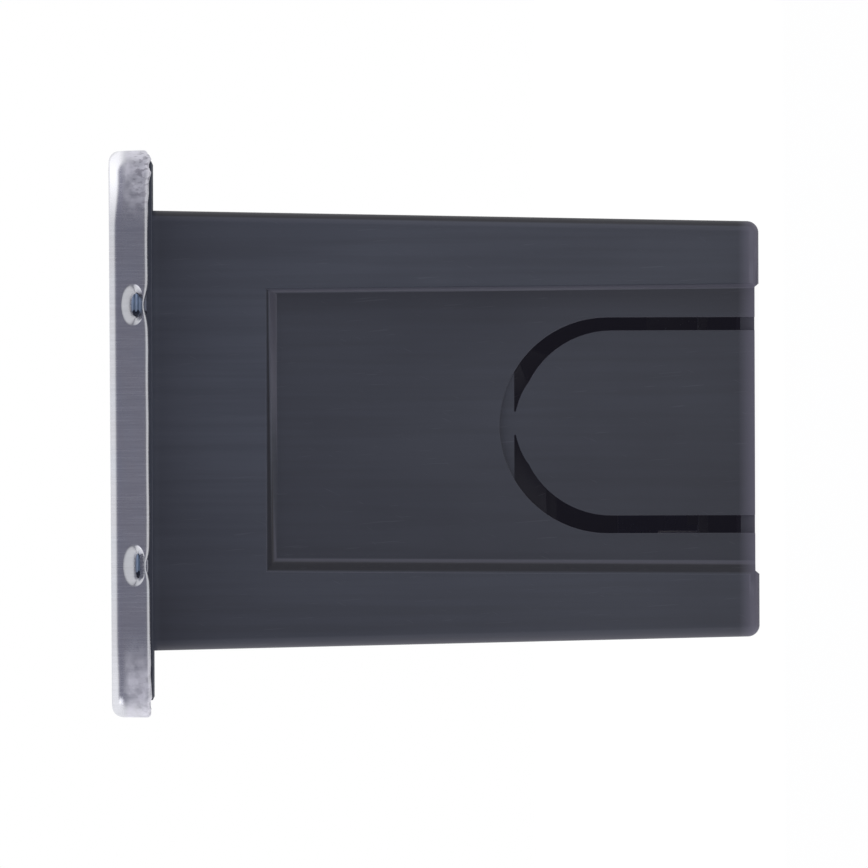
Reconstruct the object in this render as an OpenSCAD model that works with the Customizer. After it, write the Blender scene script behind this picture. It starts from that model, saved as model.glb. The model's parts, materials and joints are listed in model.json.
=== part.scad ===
// Drop-in security tag detacher for a checkout counter.
// A steel-capped face plate sits on the counter and a deep moulded tub hangs through the cut-out.
// Inside, a geared motor swings a curved steel probe up through the nest and into the tag.
// Z points out of the face plate, the origin is at the middle of the tub's end, sizes in mm.

/* [Face cap] */
// Width of the square steel cap
face_w = 100; // [96:0.5:110]
// Distance from the tub's end to the front of the cap
total_h = 114.5; // [112:0.5:122]
// Depth of the cap's skirt
skirt_h = 6.9; // [6.8:0.1:9]
// Thickness of the steel sheet
sheet_t = 1.0; // [0.8:0.1:1.2]
// Outside radius where the face bends into the skirt
bend_r = 2.0; // [1.5:0.1:3]
// Corner radius of the cap in plan
cap_corner_r = 4.0; // [3.5:0.5:6]
// Distance of the skirt's dimples from the cap's middle
dimple_x = 23; // [15:0.5:26]
// Length of a dimple along the skirt
dimple_l = 7.0; // [6:0.1:8]
// Height of a dimple across the skirt
dimple_h = 4.2; // [3.8:0.1:4.6]
// Depth to which a dimple is pressed in
dimple_d = 0.8; // [0.5:0.1:0.9]
// Length of the hole pierced in a dimple
pierce_l = 4.2; // [3:0.1:4.6]
// Height of the hole pierced in a dimple
pierce_h = 1.9; // [1.5:0.1:2.4]

/* [Tub] */
// Half width of the tub at its end
tub_hw_end = 36.65; // [36.5:0.05:37.5]
// Half width of the tub under the flange
tub_hw_top = 38.85; // [38.5:0.05:40]
// Wall thickness of the tub
wall = 2.5; // [2:0.1:2.8]
// Radius on the tub's outer edges
tub_r = 2.1; // [1:0.1:3]
// Width of the square flange
flange_w = 95; // [92:0.5:95.5]
// Height of the flange that shows below the cap
flange_gap = 0.5; // [0.3:0.1:1.5]
// Wall thickness of the flange frame
flange_wall = 2.0; // [1.6:0.1:2.4]

/* [Side channel] */
// Height where the side channel starts
channel_top = 87.1; // [70:0.1:92]
// Half width of the channel at its top
channel_hw_top = 25.05; // [22:0.05:26]
// Half width of the channel at the tub's end
channel_hw_end = 25.75; // [22:0.05:26]
// Depth of the channel
channel_d = 2.0; // [1:0.1:2.5]
// Width of the channel's sloping wall on the +X side
lip_right = 1.0; // [0.5:0.1:2.5]
// Width of the channel's sloping wall on the -X side and at its top
lip_left = 2.0; // [0.5:0.1:2.5]
// Depth of the groove that carries the channel over the tub's end
end_groove = 0.7; // [0.4:0.1:1]

/* [Knock-out tab] */
// Radius of the U-shaped step round the tab
step_r = 19.05; // [16:0.05:21]
// Sideways place of the step's middle
step_x = 0.7; // [-1:0.1:1]
// Height of the centre of the step's round end
step_z = 26.7; // [24:0.1:30]
// Depth of the step below the channel floor
step_d = 1.0; // [0.6:0.1:1.2]
// Radius of the tab's round end
tab_r = 16.35; // [13:0.05:18]
// Sideways place of the tab's middle
tab_x = 1.1; // [-1:0.1:1.5]
// Height of the centre of the tab's round end
tab_z = 26.0; // [23:0.1:29]
// Radius of the tab's nose, which fills out its end beside the neck
tab_nose_r = 12; // [10:0.1:13]
// Gap between the tip of the nose and the top of the slot
tab_nose_gap = 0.1; // [0.1:0.05:0.4]
// Height where the slot round the tab is cut off straight
slot_top = 43.2; // [41:0.1:44]
// Width of the neck that holds the tab
neck_w = 4.1; // [2:0.1:6]

/* [Nest] */
// Radius of the round nest in the face
nest_r = 28.7; // [27:0.1:30]
// Height of the nest's floor
nest_floor = 104; // [103.5:0.1:105]
// Thickness of the deck that carries the nest
deck_t = 2.4; // [2:0.1:2.6]
// Radius of the nest's dish at its mouth
dish_mouth_r = 26; // [24:0.1:26.5]
// Radius of the nest's dish at its floor
dish_floor_r = 20; // [19.5:0.1:22]

/* [Gears] */
// Gear module
gear_m = 1; // [0.9:0.05:1]
// Teeth on the full circle of the sector gear
sector_n = 36; // [34:1:36]
// Teeth on the idler gear
idler_n = 26; // [24:1:26]
// Teeth on the motor pinion
pinion_n = 16; // [14:1:17]
// Height of the probe hub's axis
hub_z = 94; // [93.5:0.1:94.5]
// Direction from the idler to the pinion
pinion_dir = 225; // [215:1:235]
// Swing of the probe from rest
swing = 85; // [60:1:85]

/* [Probe] */
// Inside radius of the curved probe
probe_ri = 17; // [16.5:0.1:17.5]
// Outside radius of the curved probe
probe_ro = 19; // [18.5:0.1:19.2]
// Thickness of the probe along the hub's axis
probe_t = 2.4; // [2:0.1:3]
// Direction of the probe's tip at rest
tip_dir = 158; // [155:1:160]
// Direction of the probe's tail at rest
tail_dir = 259; // [250:1:262]

/* [Plunger] */
// Sideways place of the tag-sensing plunger
plunger_x = 14; // [13:0.5:14]
// Depthways place of the tag-sensing plunger
plunger_y = 8; // [7:0.5:8]
// Travel of the plunger
plunger_travel = 3; // [1:0.5:3]

/* [Hidden] */
$fn = 64;
EPS = 0.01;
CLEAR = 0.05;
THREAD_GAP = 0.02;
OVERCUT = 0.15;

skirt_z = total_h - skirt_h;
flange_z = skirt_z - flange_gap;
frame_top = total_h - sheet_t - 0.2;
dimple_z = skirt_z + dimple_h / 2 + 0.1;
stud_r = 2;
stud_y = 43.3;
nut_af = 7;
nut_z = flange_z + 0.2;
nut_h = 1.8;
deck_z = nest_floor - deck_t;
deck_hw = 35.7;
post_in = 27.5;
post_w = 30;
post_mid = post_in + post_w / 2;
post_h = 16;
post_screw = 31.2;
end_wall_z = end_groove + wall;
tab_wall_y = [-60, channel_d + step_d + wall + OVERCUT - tub_hw_end];

// Places of the plates and gears along Y
gear_plate_y = [-28, -26.5];
gear_y = [-24.5, -20.5];
motor_plate_y = [-18.5, -17];
far_plate_y = [13, 14.5];
hub_y = [-20.5, 9];
plate_t = 1.5;

sector_r = gear_m * sector_n / 2;
idler_r = gear_m * idler_n / 2;
pinion_r = gear_m * pinion_n / 2;
idler_z = hub_z - sector_r - idler_r;
pinion_x = (idler_r + pinion_r) * cos(pinion_dir);
pinion_z = idler_z + (idler_r + pinion_r) * sin(pinion_dir);
PRESSURE = 20;
FLANK_STEPS = 6;
BACKLASH = 0.14;
ADDENDUM = 0.9;
DEDENDUM = 1.2;
sector_phase = 270;
idler_phase = mesh_phase(sector_phase, sector_n, 270, idler_n);
pinion_phase = mesh_phase(idler_phase, idler_n, pinion_dir, pinion_n);
sector_margin = 14;
SECTOR_SCREWS = [60, 240];
sector_screw_r = 3.9;

shaft_r = 2.5;
hub_r = 5.5;
bush_r = 4;
axle_r = 2;
motor_shaft_r = 2;
SCREW_R = 1.25;
SCREW_SHANK_R = 1.23;
SCREW_FREE_R = 1.6;
pin_r = 0.6;
gearbox_r = 12;
gearbox_l = 18;
can_l = 26;
standoffs = [[-20, 70], [20, 70], [10, 48]];
standoff_r = 3;
ear_x = 22;
ear_y = [-23.5, 19.5];
motor_screw_r = 8.5;
MOTOR_SCREWS = [90, 210, 330];
web_z = 70;

arm_dir = tail_dir - 6;
flag_dir = 285;
flag_y = [7.5, 8.5];
flag_ro = 14;
plunger_r = 2.9;
plunger_flange_r = 4.2;
stem_r = 1.5;
seat_z = 92;
stem_end_z = seat_z - 4;
blade_z = seat_z - 11;
plunger_flange_z = deck_z - 0.1 - plate_t;

board_w = 54;
board_y = [-28, 16];
board_z = 9;
board_t = 1.6;
board_top = board_z + board_t;
board_posts = [[-23, -24], [23, -24], [-23, 12], [23, 12]];
jack_y = 24.5;
jack_r = 4;

BLACK_MOULDED = [0.22, 0.235, 0.27];
STAINLESS = [0.72, 0.72, 0.74];
ZINC = [0.62, 0.67, 0.74];
STEEL = [0.55, 0.56, 0.58];
BLACK_STEEL = [0.16, 0.16, 0.17];
BRASS = [0.78, 0.62, 0.32];
ACETAL = [0.9, 0.89, 0.84];
BOARD_GREEN = [0.08, 0.32, 0.16];
DARK_PLASTIC = [0.08, 0.08, 0.09];

// ---- Helpers ----

// Half width of the drafted tub at a height
function tub_hw(z) = tub_hw_end + (tub_hw_top - tub_hw_end) * z / flange_z;

// Half width of the side channel at a height
function channel_hw(z) = channel_hw_end + (channel_hw_top - channel_hw_end) * z / channel_top;

// Angle by which an involute has unrolled at a pressure angle
function involute(a) = tan(a) * 180 / PI - a;

// Half the angle that a tooth fills at radius rho
function tooth_half(n, rho) =
    let (r = gear_m * n / 2, rb = r * cos(PRESSURE))
    90 / n - BACKLASH / 4 / r * 180 / PI + involute(PRESSURE) - involute(acos(min(1, rb / rho)));

// Direction of one tooth of a gear that meshes with another gear lying in direction dir from it
function mesh_phase(phase, n_from, dir, n_to) = dir + 180 - (phase - dir) * n_from / n_to + 180 / n_to;

function polar(r, a) = [r * cos(a), r * sin(a)];

// Extrudes a drawing in X and Z along Y
module along_y(span) {
    translate([0, span[1], 0])
        rotate([90, 0, 0])
            linear_extrude(span[1] - span[0])
                children();
}

// Round bar along Y at x, z
module rod_y(x, z, r, span) {
    translate([x, span[1], z])
        rotate([90, 0, 0])
            cylinder(r = r, h = span[1] - span[0]);
}

// Hexagonal or other polygonal bar across its flats
module hex(af, h) {
    cylinder(r = af / 2 / cos(30), h = h, $fn = 6);
}

// Pan-head screw along -Z with its head's underside at the origin and a slot in the head
module screw(r, l, head_r, head_h) {
    difference() {
        union() {
            translate([0, 0, -l])
                cylinder(r = r, h = l);
            cylinder(r = head_r, h = head_h);
        }
        for (turn = [0, 90])
            rotate([0, 0, turn])
                translate([-head_r * 0.6, -r * 0.2, head_h * 0.45])
                    cube([head_r * 1.2, r * 0.4, head_h]);
    }
}

// The same screw lying along Y: its head looks towards -Y
module screw_y(x, z, head_y, r, l, head_r, head_h) {
    translate([x, head_y, z])
        rotate([90, 0, 0])
            screw(r, l, head_r, head_h);
}

// Full outline of a gear, with a tooth in direction phase
module gear_outline(n, phase) {
    r = gear_m * n / 2;
    ra = r + ADDENDUM * gear_m;
    rf = r - DEDENDUM * gear_m;
    r0 = max(rf, r * cos(PRESSURE));
    radii = [for (i = [0 : FLANK_STEPS]) r0 + (ra - r0) * i / FLANK_STEPS];
    polygon([for (t = [0 : n - 1])
        let (mid = phase + t * 360 / n)
        each concat(
            [polar(rf, mid - tooth_half(n, r0))],
            [for (i = [0 : FLANK_STEPS]) polar(radii[i], mid - tooth_half(n, radii[i]))],
            [for (i = [FLANK_STEPS : -1 : 0]) polar(radii[i], mid + tooth_half(n, radii[i]))],
            [polar(rf, mid + tooth_half(n, r0))])]);
}

// Wedge from the origin between two directions less than 180 degrees apart
module wedge(r, from, to) {
    mid = (from + to) / 2;
    reach = r / cos((to - from) / 4);
    polygon([[0, 0], polar(r, from), polar(reach, (from + mid) / 2), polar(r, mid),
        polar(reach, (mid + to) / 2), polar(r, to)]);
}

// Retaining clip for a grooved shaft along Y
module clip_y(x, z, r, span, gap_dir) {
    translate([x, 0, z])
        along_y(span)
            difference() {
                circle(r = r * 1.9);
                circle(r = r);
                wedge(r * 3, gap_dir - 32, gap_dir + 32);
            }
}

// Flat slot with round ends, drawn along X
module slot_2d(l, h) {
    square([l - h, h], center = true);
    for (side = [-1, 1])
        translate([side * (l - h) / 2, 0])
            circle(r = h / 2);
}

// ---- Face ----

// Corner of the cap with the bend rolled round it
module cap_corner(r, bend, h) {
    rotate_extrude($fn = 48)
        union() {
            square([r, h - bend]);
            square([r - bend, h]);
            translate([r - bend, h - bend])
                circle(r = bend, $fn = 32);
        }
}

module cap_block(w, r, bend, z0, z1) {
    hull()
        for (sx = [-1, 1], sy = [-1, 1])
            translate([sx * (w / 2 - r), sy * (w / 2 - r), z0])
                cap_corner(r, bend, z1 - z0);
}

// Places children on each dimple, looking out of the skirt along -Y
module at_dimples() {
    for (side = [0, 180], sx = [-1, 1])
        rotate([0, 0, side])
            translate([sx * dimple_x, -face_w / 2, dimple_z])
                children();
}

module face_cap() {
    inner_r = cap_corner_r - sheet_t;
    color(STAINLESS)
        difference() {
            union() {
                difference() {
                    cap_block(face_w, cap_corner_r, bend_r, skirt_z, total_h);
                    cap_block(face_w - 2 * sheet_t, inner_r, bend_r - sheet_t,
                        skirt_z - 1, total_h - sheet_t);
                }
                at_dimples()
                    along_y([sheet_t - EPS, sheet_t + dimple_d])
                        slot_2d(dimple_l - sheet_t, dimple_h - sheet_t);
            }
            translate([0, 0, skirt_z])
                cylinder(r = nest_r + 0.3, h = skirt_h + 1, $fn = 128);
            at_dimples()
                along_y([-1, dimple_d])
                    slot_2d(dimple_l - 2 * sheet_t, dimple_h - 2 * sheet_t);
            at_dimples()
                along_y([-1, sheet_t + dimple_d + 1])
                    slot_2d(pierce_l, pierce_h);
        }
}

// Places children on each stud of the cap
module at_studs() {
    for (sx = [-1, 1], sy = [-1, 1])
        translate([sx * dimple_x, sy * stud_y, 0])
            children();
}

module cap_studs() {
    color(ZINC)
        at_studs()
            translate([0, 0, flange_z + 0.3])
                cylinder(r = stud_r, h = total_h - sheet_t - flange_z - 0.3);
}

module cap_nuts() {
    color(ZINC)
        at_studs()
            translate([0, 0, nut_z])
                difference() {
                    hex(nut_af, nut_h);
                    translate([0, 0, -1])
                        cylinder(r = stud_r + THREAD_GAP, h = nut_h + 2);
                }
}

// ---- Tub ----

// Prism across the full width whose outer face leans with the tub's draft, `inset` inside its -Y face
module drafted_slab(hw, inset, z0, z1) {
    translate([-hw, 0, 0])
        rotate([90, 0, 90])
            linear_extrude(2 * hw)
                polygon([[-60, z0], [-(tub_hw(z0) - inset), z0], [-(tub_hw(z1) - inset), z1], [-60, z1]]);
}

// Section of the drafted tub, inset from its faces, as the meeting of two prisms
module drafted_block(inset, z0, z1) {
    intersection_for (turn = [0, 90])
        rotate([0, 0, turn])
            along_y([-60, 60])
                polygon([[-(tub_hw(z0) - inset), z0], [tub_hw(z0) - inset, z0],
                    [tub_hw(z1) - inset, z1], [-(tub_hw(z1) - inset), z1]]);
}

module tub_outside() {
    intersection() {
        hull()
            for (sx = [-1, 1], sy = [-1, 1], z = [tub_r - EPS, flange_z + 2 * tub_r])
                let (c = tub_hw(z) - tub_r)
                translate([sx * c, sy * c, z])
                    sphere(r = tub_r, $fn = 32);
        translate([-50, -50, 0])
            cube([100, 100, flange_z + 1]);
    }
}

// Void of the channel on the -Y side, with its sloping walls
module channel_void() {
    slope_out = 0.5;
    hull() {
        for (z = [-1, channel_top - lip_left * 0.7])
            for (x = [-(channel_hw(z) - lip_left), channel_hw(z) - lip_right])
                translate([x, -(tub_hw(z) - channel_d), z])
                    cube(EPS, center = true);
        for (z = [-1, channel_top + lip_left * 0.7 * slope_out])
            for (x = [-(channel_hw(z) + lip_left * slope_out), channel_hw(z) + lip_right * slope_out])
                translate([x, -(tub_hw(z) + channel_d * slope_out), z])
                    cube(EPS, center = true);
    }
}

// U outline with its round end up
module u_outline(x, z, r) {
    translate([x, z])
        circle(r = r, $fn = 128);
    translate([x - r, -10])
        square([2 * r, z + 10]);
}

// Slot that frees the tab from the tub's wall
module tab_slot_outline() {
    difference() {
        intersection() {
            u_outline(step_x, step_z, step_r);
            translate([-40, -1])
                square([80, slot_top + 1]);
        }
        u_outline(tab_x, tab_z, tab_r);
        translate([tab_x, slot_top - tab_nose_gap - tab_nose_r])
            circle(r = tab_nose_r);
        translate([tab_x - neck_w / 2, tab_z])
            square([neck_w, slot_top]);
    }
}

// Frame inside the cap: two walls, a web and cross ribs
module flange_frame() {
    hw = flange_w / 2;
    inner_hw = tub_hw(flange_z) - wall;
    rib_t = 1.6;
    difference() {
        translate([-hw, -hw, flange_z])
            cube([flange_w, flange_w, frame_top - flange_z]);
        difference() {
            translate([-hw + flange_wall, -hw + flange_wall, flange_z + wall])
                cube([flange_w - 2 * flange_wall, flange_w - 2 * flange_wall, skirt_h]);
            translate([-inner_hw - wall, -inner_hw - wall, flange_z])
                cube([2 * (inner_hw + wall), 2 * (inner_hw + wall), skirt_h]);
            for (turn = [0, 90], x = [-35, -11.5, 11.5, 35])
                rotate([0, 0, turn])
                    translate([x - rib_t / 2, -hw, flange_z])
                        cube([rib_t, flange_w, skirt_h]);
            at_studs()
                translate([0, 0, flange_z])
                    cylinder(r = nut_af * 0.75, h = skirt_h);
        }
        translate([-inner_hw, -inner_hw, flange_z - 1])
            cube([2 * inner_hw, 2 * inner_hw, skirt_h + 2]);
    }
}

// Holes for the studs, windows behind the skirt's dimples and pockets for the nuts
module stud_cuts() {
    gap = 0.4;
    for (side = [0, 180], sx = [-1, 1])
        rotate([0, 0, side])
            translate([sx * dimple_x, -stud_y, flange_z]) {
                translate([0, 0, -1])
                    cylinder(r = stud_r + gap, h = skirt_h + 2);
                translate([-stud_r - gap, -10, flange_gap + gap])
                    cube([2 * (stud_r + gap), 10, skirt_h]);
                translate([0, 0, -1])
                    hex(nut_af + gap / 2, nut_h + 1 + gap);
            }
}

module housing() {
    color(BLACK_MOULDED)
        difference() {
            union() {
                difference() {
                    tub_outside();
                    difference() {
                        drafted_block(wall, end_wall_z, flange_z + 2);
                        for (side = [0, 180])
                            rotate([0, 0, side])
                                drafted_slab(channel_hw_end + wall, channel_d + wall, 0, channel_top + wall);
                        intersection() {
                            along_y([-60, 0])
                                u_outline(step_x, step_z, step_r + wall);
                            drafted_slab(50, channel_d + step_d + wall, 0, channel_top);
                        }
                    }
                }
                intersection() {
                    for (sx = [-1, 1], sy = [-1, 1])
                        translate([sx * post_mid, sy * post_mid, deck_z - post_h / 2])
                            cube([post_w, post_w, post_h], center = true);
                    drafted_block(wall / 2, deck_z - post_h, deck_z);
                }
                flange_frame();
                for (p = board_posts)
                    translate([p[0], p[1], end_groove + EPS])
                        cylinder(r = 3, h = board_z - end_groove - EPS);
            }
            for (side = [0, 180])
                rotate([0, 0, side])
                    channel_void();
            intersection() {
                along_y(tab_wall_y)
                    u_outline(step_x, step_z, step_r);
                drafted_slab(50, channel_d + step_d, -1, channel_top);
            }
            along_y(tab_wall_y)
                tab_slot_outline();
            along_y([-60, 60])
                polygon([[-channel_hw_end - end_groove, -1], [-channel_hw_end + end_groove, end_groove],
                    [channel_hw_end - end_groove, end_groove], [channel_hw_end + end_groove, -1]]);
            for (sx = [-1, 1], sy = [-1, 1])
                translate([sx * post_screw, sy * post_screw, deck_z - 12])
                    cylinder(r = SCREW_R, h = 13);
            for (p = board_posts)
                translate([p[0], p[1], end_wall_z])
                    cylinder(r = 1.1, h = board_z);
            stud_cuts();
            translate([0, jack_y, -1])
                cylinder(r = jack_r + 0.1, h = wall + 4);
            translate([0, jack_y, -1])
                cylinder(r = jack_r + 1.7, h = end_groove + 1 + 1.2);
        }
}

// ---- Nest ----

module nest_deck() {
    dish_h = total_h - 0.2 - nest_floor;
    color(BLACK_MOULDED)
        difference() {
            union() {
                translate([-deck_hw, -deck_hw, deck_z])
                    cube([2 * deck_hw, 2 * deck_hw, deck_t]);
                translate([0, 0, deck_z])
                    cylinder(r = nest_r, h = deck_t + dish_h, $fn = 128);
                for (sx = [-1, 1], y = ear_y)
                    translate([sx * ear_x, y, deck_z])
                        cylinder(r = 3.2, h = 8.5);
            }
            translate([0, 0, nest_floor])
                cylinder(r1 = dish_floor_r, r2 = dish_mouth_r, h = dish_h + EPS, $fn = 128);
            translate([-probe_ro + 0.6, -probe_t / 2 - 1, deck_z - 1])
                cube([5.8, probe_t + 2, deck_t + 2]);
            translate([plunger_x, plunger_y, deck_z - 1])
                cylinder(r = plunger_r + CLEAR, h = deck_t + 2);
            for (sx = [-1, 1], y = ear_y)
                translate([sx * ear_x, y, deck_z - 1])
                    cylinder(r = SCREW_R, h = 8);
            for (sx = [-1, 1], sy = [-1, 1])
                translate([sx * post_screw, sy * post_screw, deck_z - 1])
                    cylinder(r = 1.7, h = deck_t + 2);
        }
}

module deck_screws() {
    color(ZINC)
        for (sx = [-1, 1], sy = [-1, 1])
            translate([sx * post_screw, sy * post_screw, nest_floor])
                screw(SCREW_R, 12, 2.8, 2);
}

// ---- Chassis ----

// Outline of the plate that carries the motor
module motor_plate_outline() {
    polygon([[-27, deck_z], [27, deck_z], [27, 96], [24, 66], [13, 37], [-27, 35], [-27.5, 64]]);
}

// Outline of the plate that carries the far bushing
module far_plate_outline() {
    polygon([[-27, deck_z], [27, deck_z], [27, 94], [16, web_z], [-16, web_z], [-27, 94]]);
}

module chassis() {
    color(BLACK_STEEL)
        difference() {
            union() {
                along_y(motor_plate_y)
                    motor_plate_outline();
                along_y(far_plate_y)
                    far_plate_outline();
                translate([-14, motor_plate_y[0], web_z])
                    cube([28, far_plate_y[1] - motor_plate_y[0], plate_t]);
                for (sx = [-1, 1]) {
                    translate([sx * ear_x - 5, ear_y[0] - 4.5, deck_z - plate_t])
                        cube([10, motor_plate_y[1] - ear_y[0] + 4.5, plate_t]);
                    translate([sx * ear_x - 5, far_plate_y[0], deck_z - plate_t])
                        cube([10, ear_y[1] + 4.5 - far_plate_y[0], plate_t]);
                }
                translate([plunger_x - 4, plunger_y - 4, seat_z - plate_t])
                    cube([8, far_plate_y[1] - plunger_y + 4, plate_t]);
            }
            rod_y(0, hub_z, hub_r + 1, [motor_plate_y[0] - 1, motor_plate_y[1] + 1]);
            rod_y(0, hub_z, bush_r, [far_plate_y[0] - 1, far_plate_y[1] + 1]);
            rod_y(0, idler_z, axle_r + THREAD_GAP, [motor_plate_y[0] - 1, motor_plate_y[1] + 1]);
            rod_y(pinion_x, pinion_z, 5, [motor_plate_y[0] - 1, motor_plate_y[1] + 1]);
            for (a = MOTOR_SCREWS)
                rod_y(pinion_x + motor_screw_r * cos(a), pinion_z + motor_screw_r * sin(a), 1.35,
                    [motor_plate_y[0] - 1, motor_plate_y[1] + 1]);
            for (p = standoffs)
                rod_y(p[0], p[1], SCREW_R, [motor_plate_y[0] - 1, motor_plate_y[1] + 1]);
            for (sx = [-1, 1], y = ear_y)
                translate([sx * ear_x, y, deck_z - plate_t - 1])
                    cylinder(r = SCREW_FREE_R, h = plate_t + 2);
            translate([plunger_x, plunger_y, seat_z - plate_t - 1])
                cylinder(r = stem_r + 0.1, h = plate_t + 2);
        }
}

module chassis_screws() {
    color(ZINC)
        for (sx = [-1, 1], y = ear_y)
            translate([sx * ear_x, y, deck_z - plate_t])
                rotate([180, 0, 0])
                    screw(SCREW_R, plate_t + 6.5, 2.6, 1.8);
}

module gear_plate() {
    color(BLACK_STEEL)
        difference() {
            along_y(gear_plate_y)
                polygon([[-8, 100], [8, 100], [24, 74], [24, 66],
                    [15, 43.5], [0, 37.5], [-19, 37.5], [-25, 46], [-24, 74]]);
            rod_y(0, hub_z, bush_r, [gear_plate_y[0] - 1, gear_plate_y[1] + 1]);
            rod_y(0, idler_z, axle_r + THREAD_GAP, [gear_plate_y[0] - 1, gear_plate_y[1] + 1]);
            rod_y(pinion_x, pinion_z, 3.2, [gear_plate_y[0] - 1, gear_plate_y[1] + 1]);
            for (p = standoffs)
                rod_y(p[0], p[1], SCREW_FREE_R, [gear_plate_y[0] - 1, gear_plate_y[1] + 1]);
        }
}

module gear_standoffs() {
    color(BRASS)
        for (p = standoffs)
            difference() {
                rod_y(p[0], p[1], standoff_r, [gear_plate_y[1], motor_plate_y[0]]);
                rod_y(p[0], p[1], SCREW_R + THREAD_GAP, [gear_plate_y[1] - 1, motor_plate_y[0] + 1]);
            }
}

module gear_plate_screws() {
    color(ZINC)
        for (p = standoffs)
            screw_y(p[0], p[1], gear_plate_y[0], SCREW_SHANK_R, 10.5, 2.4, 1.6);
}

// ---- Probe drive ----

module shaft_bushings() {
    color(BRASS)
        for (span = [[gear_plate_y[0], gear_plate_y[1] + 1], [far_plate_y[0] - 1, far_plate_y[1]]])
            difference() {
                union() {
                    rod_y(0, hub_z, bush_r, span);
                    rod_y(0, hub_z, bush_r + 1.2,
                        span[0] < 0 ? [span[1] - 1, span[1]] : [span[0], span[0] + 1]);
                }
                rod_y(0, hub_z, shaft_r + CLEAR, [span[0] - 1, span[1] + 1]);
            }
}

module hub_shaft() {
    color(STEEL)
        difference() {
            rod_y(0, hub_z, shaft_r, [-30, 17]);
            for (span = [[-29, -28.2], [14.7, 15.5]])
                difference() {
                    rod_y(0, hub_z, shaft_r + 1, span);
                    rod_y(0, hub_z, shaft_r - 0.5, [span[0] - 1, span[1] + 1]);
                }
        }
}

module shaft_clips() {
    color(STEEL)
        for (span = [[-28.95, -28.25], [14.75, 15.45]])
            clip_y(0, hub_z, shaft_r - 0.5, span, 90);
}

module probe_hub() {
    arm_w = 4;
    arm_y = 3;
    color(ACETAL)
        difference() {
            union() {
                rod_y(0, hub_z, hub_r, hub_y);
                translate([0, 0, hub_z])
                    rotate([0, -arm_dir, 0])
                        translate([0, -arm_y, -arm_w / 2])
                            cube([probe_ro + 0.6, 2 * arm_y, arm_w]);
                translate([0, 0, hub_z])
                    along_y(flag_y) {
                        circle(r = hub_r + 2);
                        intersection() {
                            circle(r = flag_ro);
                            wedge(flag_ro * 2, flag_dir - 8, flag_dir + 8);
                        }
                    }
            }
            rod_y(0, hub_z, shaft_r, [hub_y[0] - 1, hub_y[1] + 1]);
            translate([0, 0, hub_z])
                along_y([-probe_t / 2, probe_t / 2])
                    difference() {
                        circle(r = probe_ro + 5);
                        circle(r = probe_ri);
                    }
            translate([0, 0, hub_z])
                rotate([0, -arm_dir, 0])
                    rotate([90, 0, 0])
                        translate([(probe_ri + probe_ro) / 2, 0, -10])
                            cylinder(r = 0.8, h = 20);
            for (a = SECTOR_SCREWS)
                rod_y(sector_screw_r * cos(a), hub_z + sector_screw_r * sin(a), 0.6,
                    [hub_y[0] - 1, hub_y[0] + 5]);
        }
}

module probe() {
    color(STAINLESS)
        difference() {
            translate([0, 0, hub_z])
                along_y([-probe_t / 2, probe_t / 2])
                    difference() {
                        intersection() {
                            circle(r = probe_ro, $fn = 128);
                            wedge(probe_ro * 2, tip_dir, tail_dir);
                        }
                        circle(r = probe_ri, $fn = 128);
                    }
            translate([0, 0, hub_z])
                rotate([0, -arm_dir, 0])
                    rotate([90, 0, 0])
                        translate([(probe_ri + probe_ro) / 2, 0, -10])
                            cylinder(r = pin_r, h = 20);
        }
}

module probe_pin() {
    color(STEEL)
        translate([0, 0, hub_z])
            rotate([0, -arm_dir, 0])
                rotate([90, 0, 0])
                    translate([(probe_ri + probe_ro) / 2, 0, -3])
                        cylinder(r = pin_r, h = 6);
}

module sector_gear() {
    from = sector_phase - sector_margin;
    to = sector_phase + swing + sector_margin;
    color(BRASS)
        difference() {
            translate([0, 0, hub_z])
                along_y(gear_y) {
                    circle(r = hub_r + 1.5);
                    intersection() {
                        gear_outline(sector_n, sector_phase);
                        wedge(sector_r * 2, from, to);
                    }
                }
            rod_y(0, hub_z, shaft_r, [gear_y[0] - 1, gear_y[1] + 1]);
            for (a = SECTOR_SCREWS)
                rod_y(sector_screw_r * cos(a), hub_z + sector_screw_r * sin(a), 0.7,
                    [gear_y[0] - 1, gear_y[1] + 1]);
        }
}

module sector_screws() {
    color(ZINC)
        for (a = SECTOR_SCREWS)
            screw_y(sector_screw_r * cos(a), hub_z + sector_screw_r * sin(a), gear_y[0], 0.6, 8, 1.2, 0.8);
}

module idler_gear() {
    color(ACETAL)
        difference() {
            union() {
                translate([0, 0, idler_z])
                    along_y(gear_y)
                        gear_outline(idler_n, idler_phase);
                rod_y(0, idler_z, 4.5, [gear_plate_y[1] + 0.2, motor_plate_y[0] - 0.2]);
            }
            rod_y(0, idler_z, axle_r + CLEAR, [gear_y[0] - 5, gear_y[1] + 5]);
            for (a = [0 : 60 : 300])
                rod_y(8 * cos(a), idler_z + 8 * sin(a), 2, [gear_y[0] - 1, gear_y[1] + 1]);
        }
}

module idler_axle() {
    color(STEEL)
        difference() {
            rod_y(0, idler_z, axle_r, [-29.6, motor_plate_y[1]]);
            difference() {
                rod_y(0, idler_z, axle_r + 1, [-28.9, -28.2]);
                rod_y(0, idler_z, axle_r - 0.4, [-30, -27]);
            }
        }
}

module idler_clip() {
    color(STEEL)
        clip_y(0, idler_z, axle_r - 0.4, [-28.85, -28.25], 0);
}

module pinion() {
    color(BRASS)
        difference() {
            union() {
                translate([pinion_x, 0, pinion_z])
                    along_y(gear_y)
                        gear_outline(pinion_n, pinion_phase);
                rod_y(pinion_x, pinion_z, 5, [gear_y[0] - 1.8, gear_y[0] + 1]);
            }
            rod_y(pinion_x, pinion_z, motor_shaft_r, [gear_y[0] - 5, gear_y[1] + 5]);
            translate([pinion_x, gear_y[0] - 0.9, pinion_z])
                cylinder(r = 0.7, h = 10);
        }
}

module pinion_set_screw() {
    color(STEEL)
        translate([pinion_x, gear_y[0] - 0.9, pinion_z + motor_shaft_r])
            cylinder(r = 0.68, h = 2.6);
}

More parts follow.
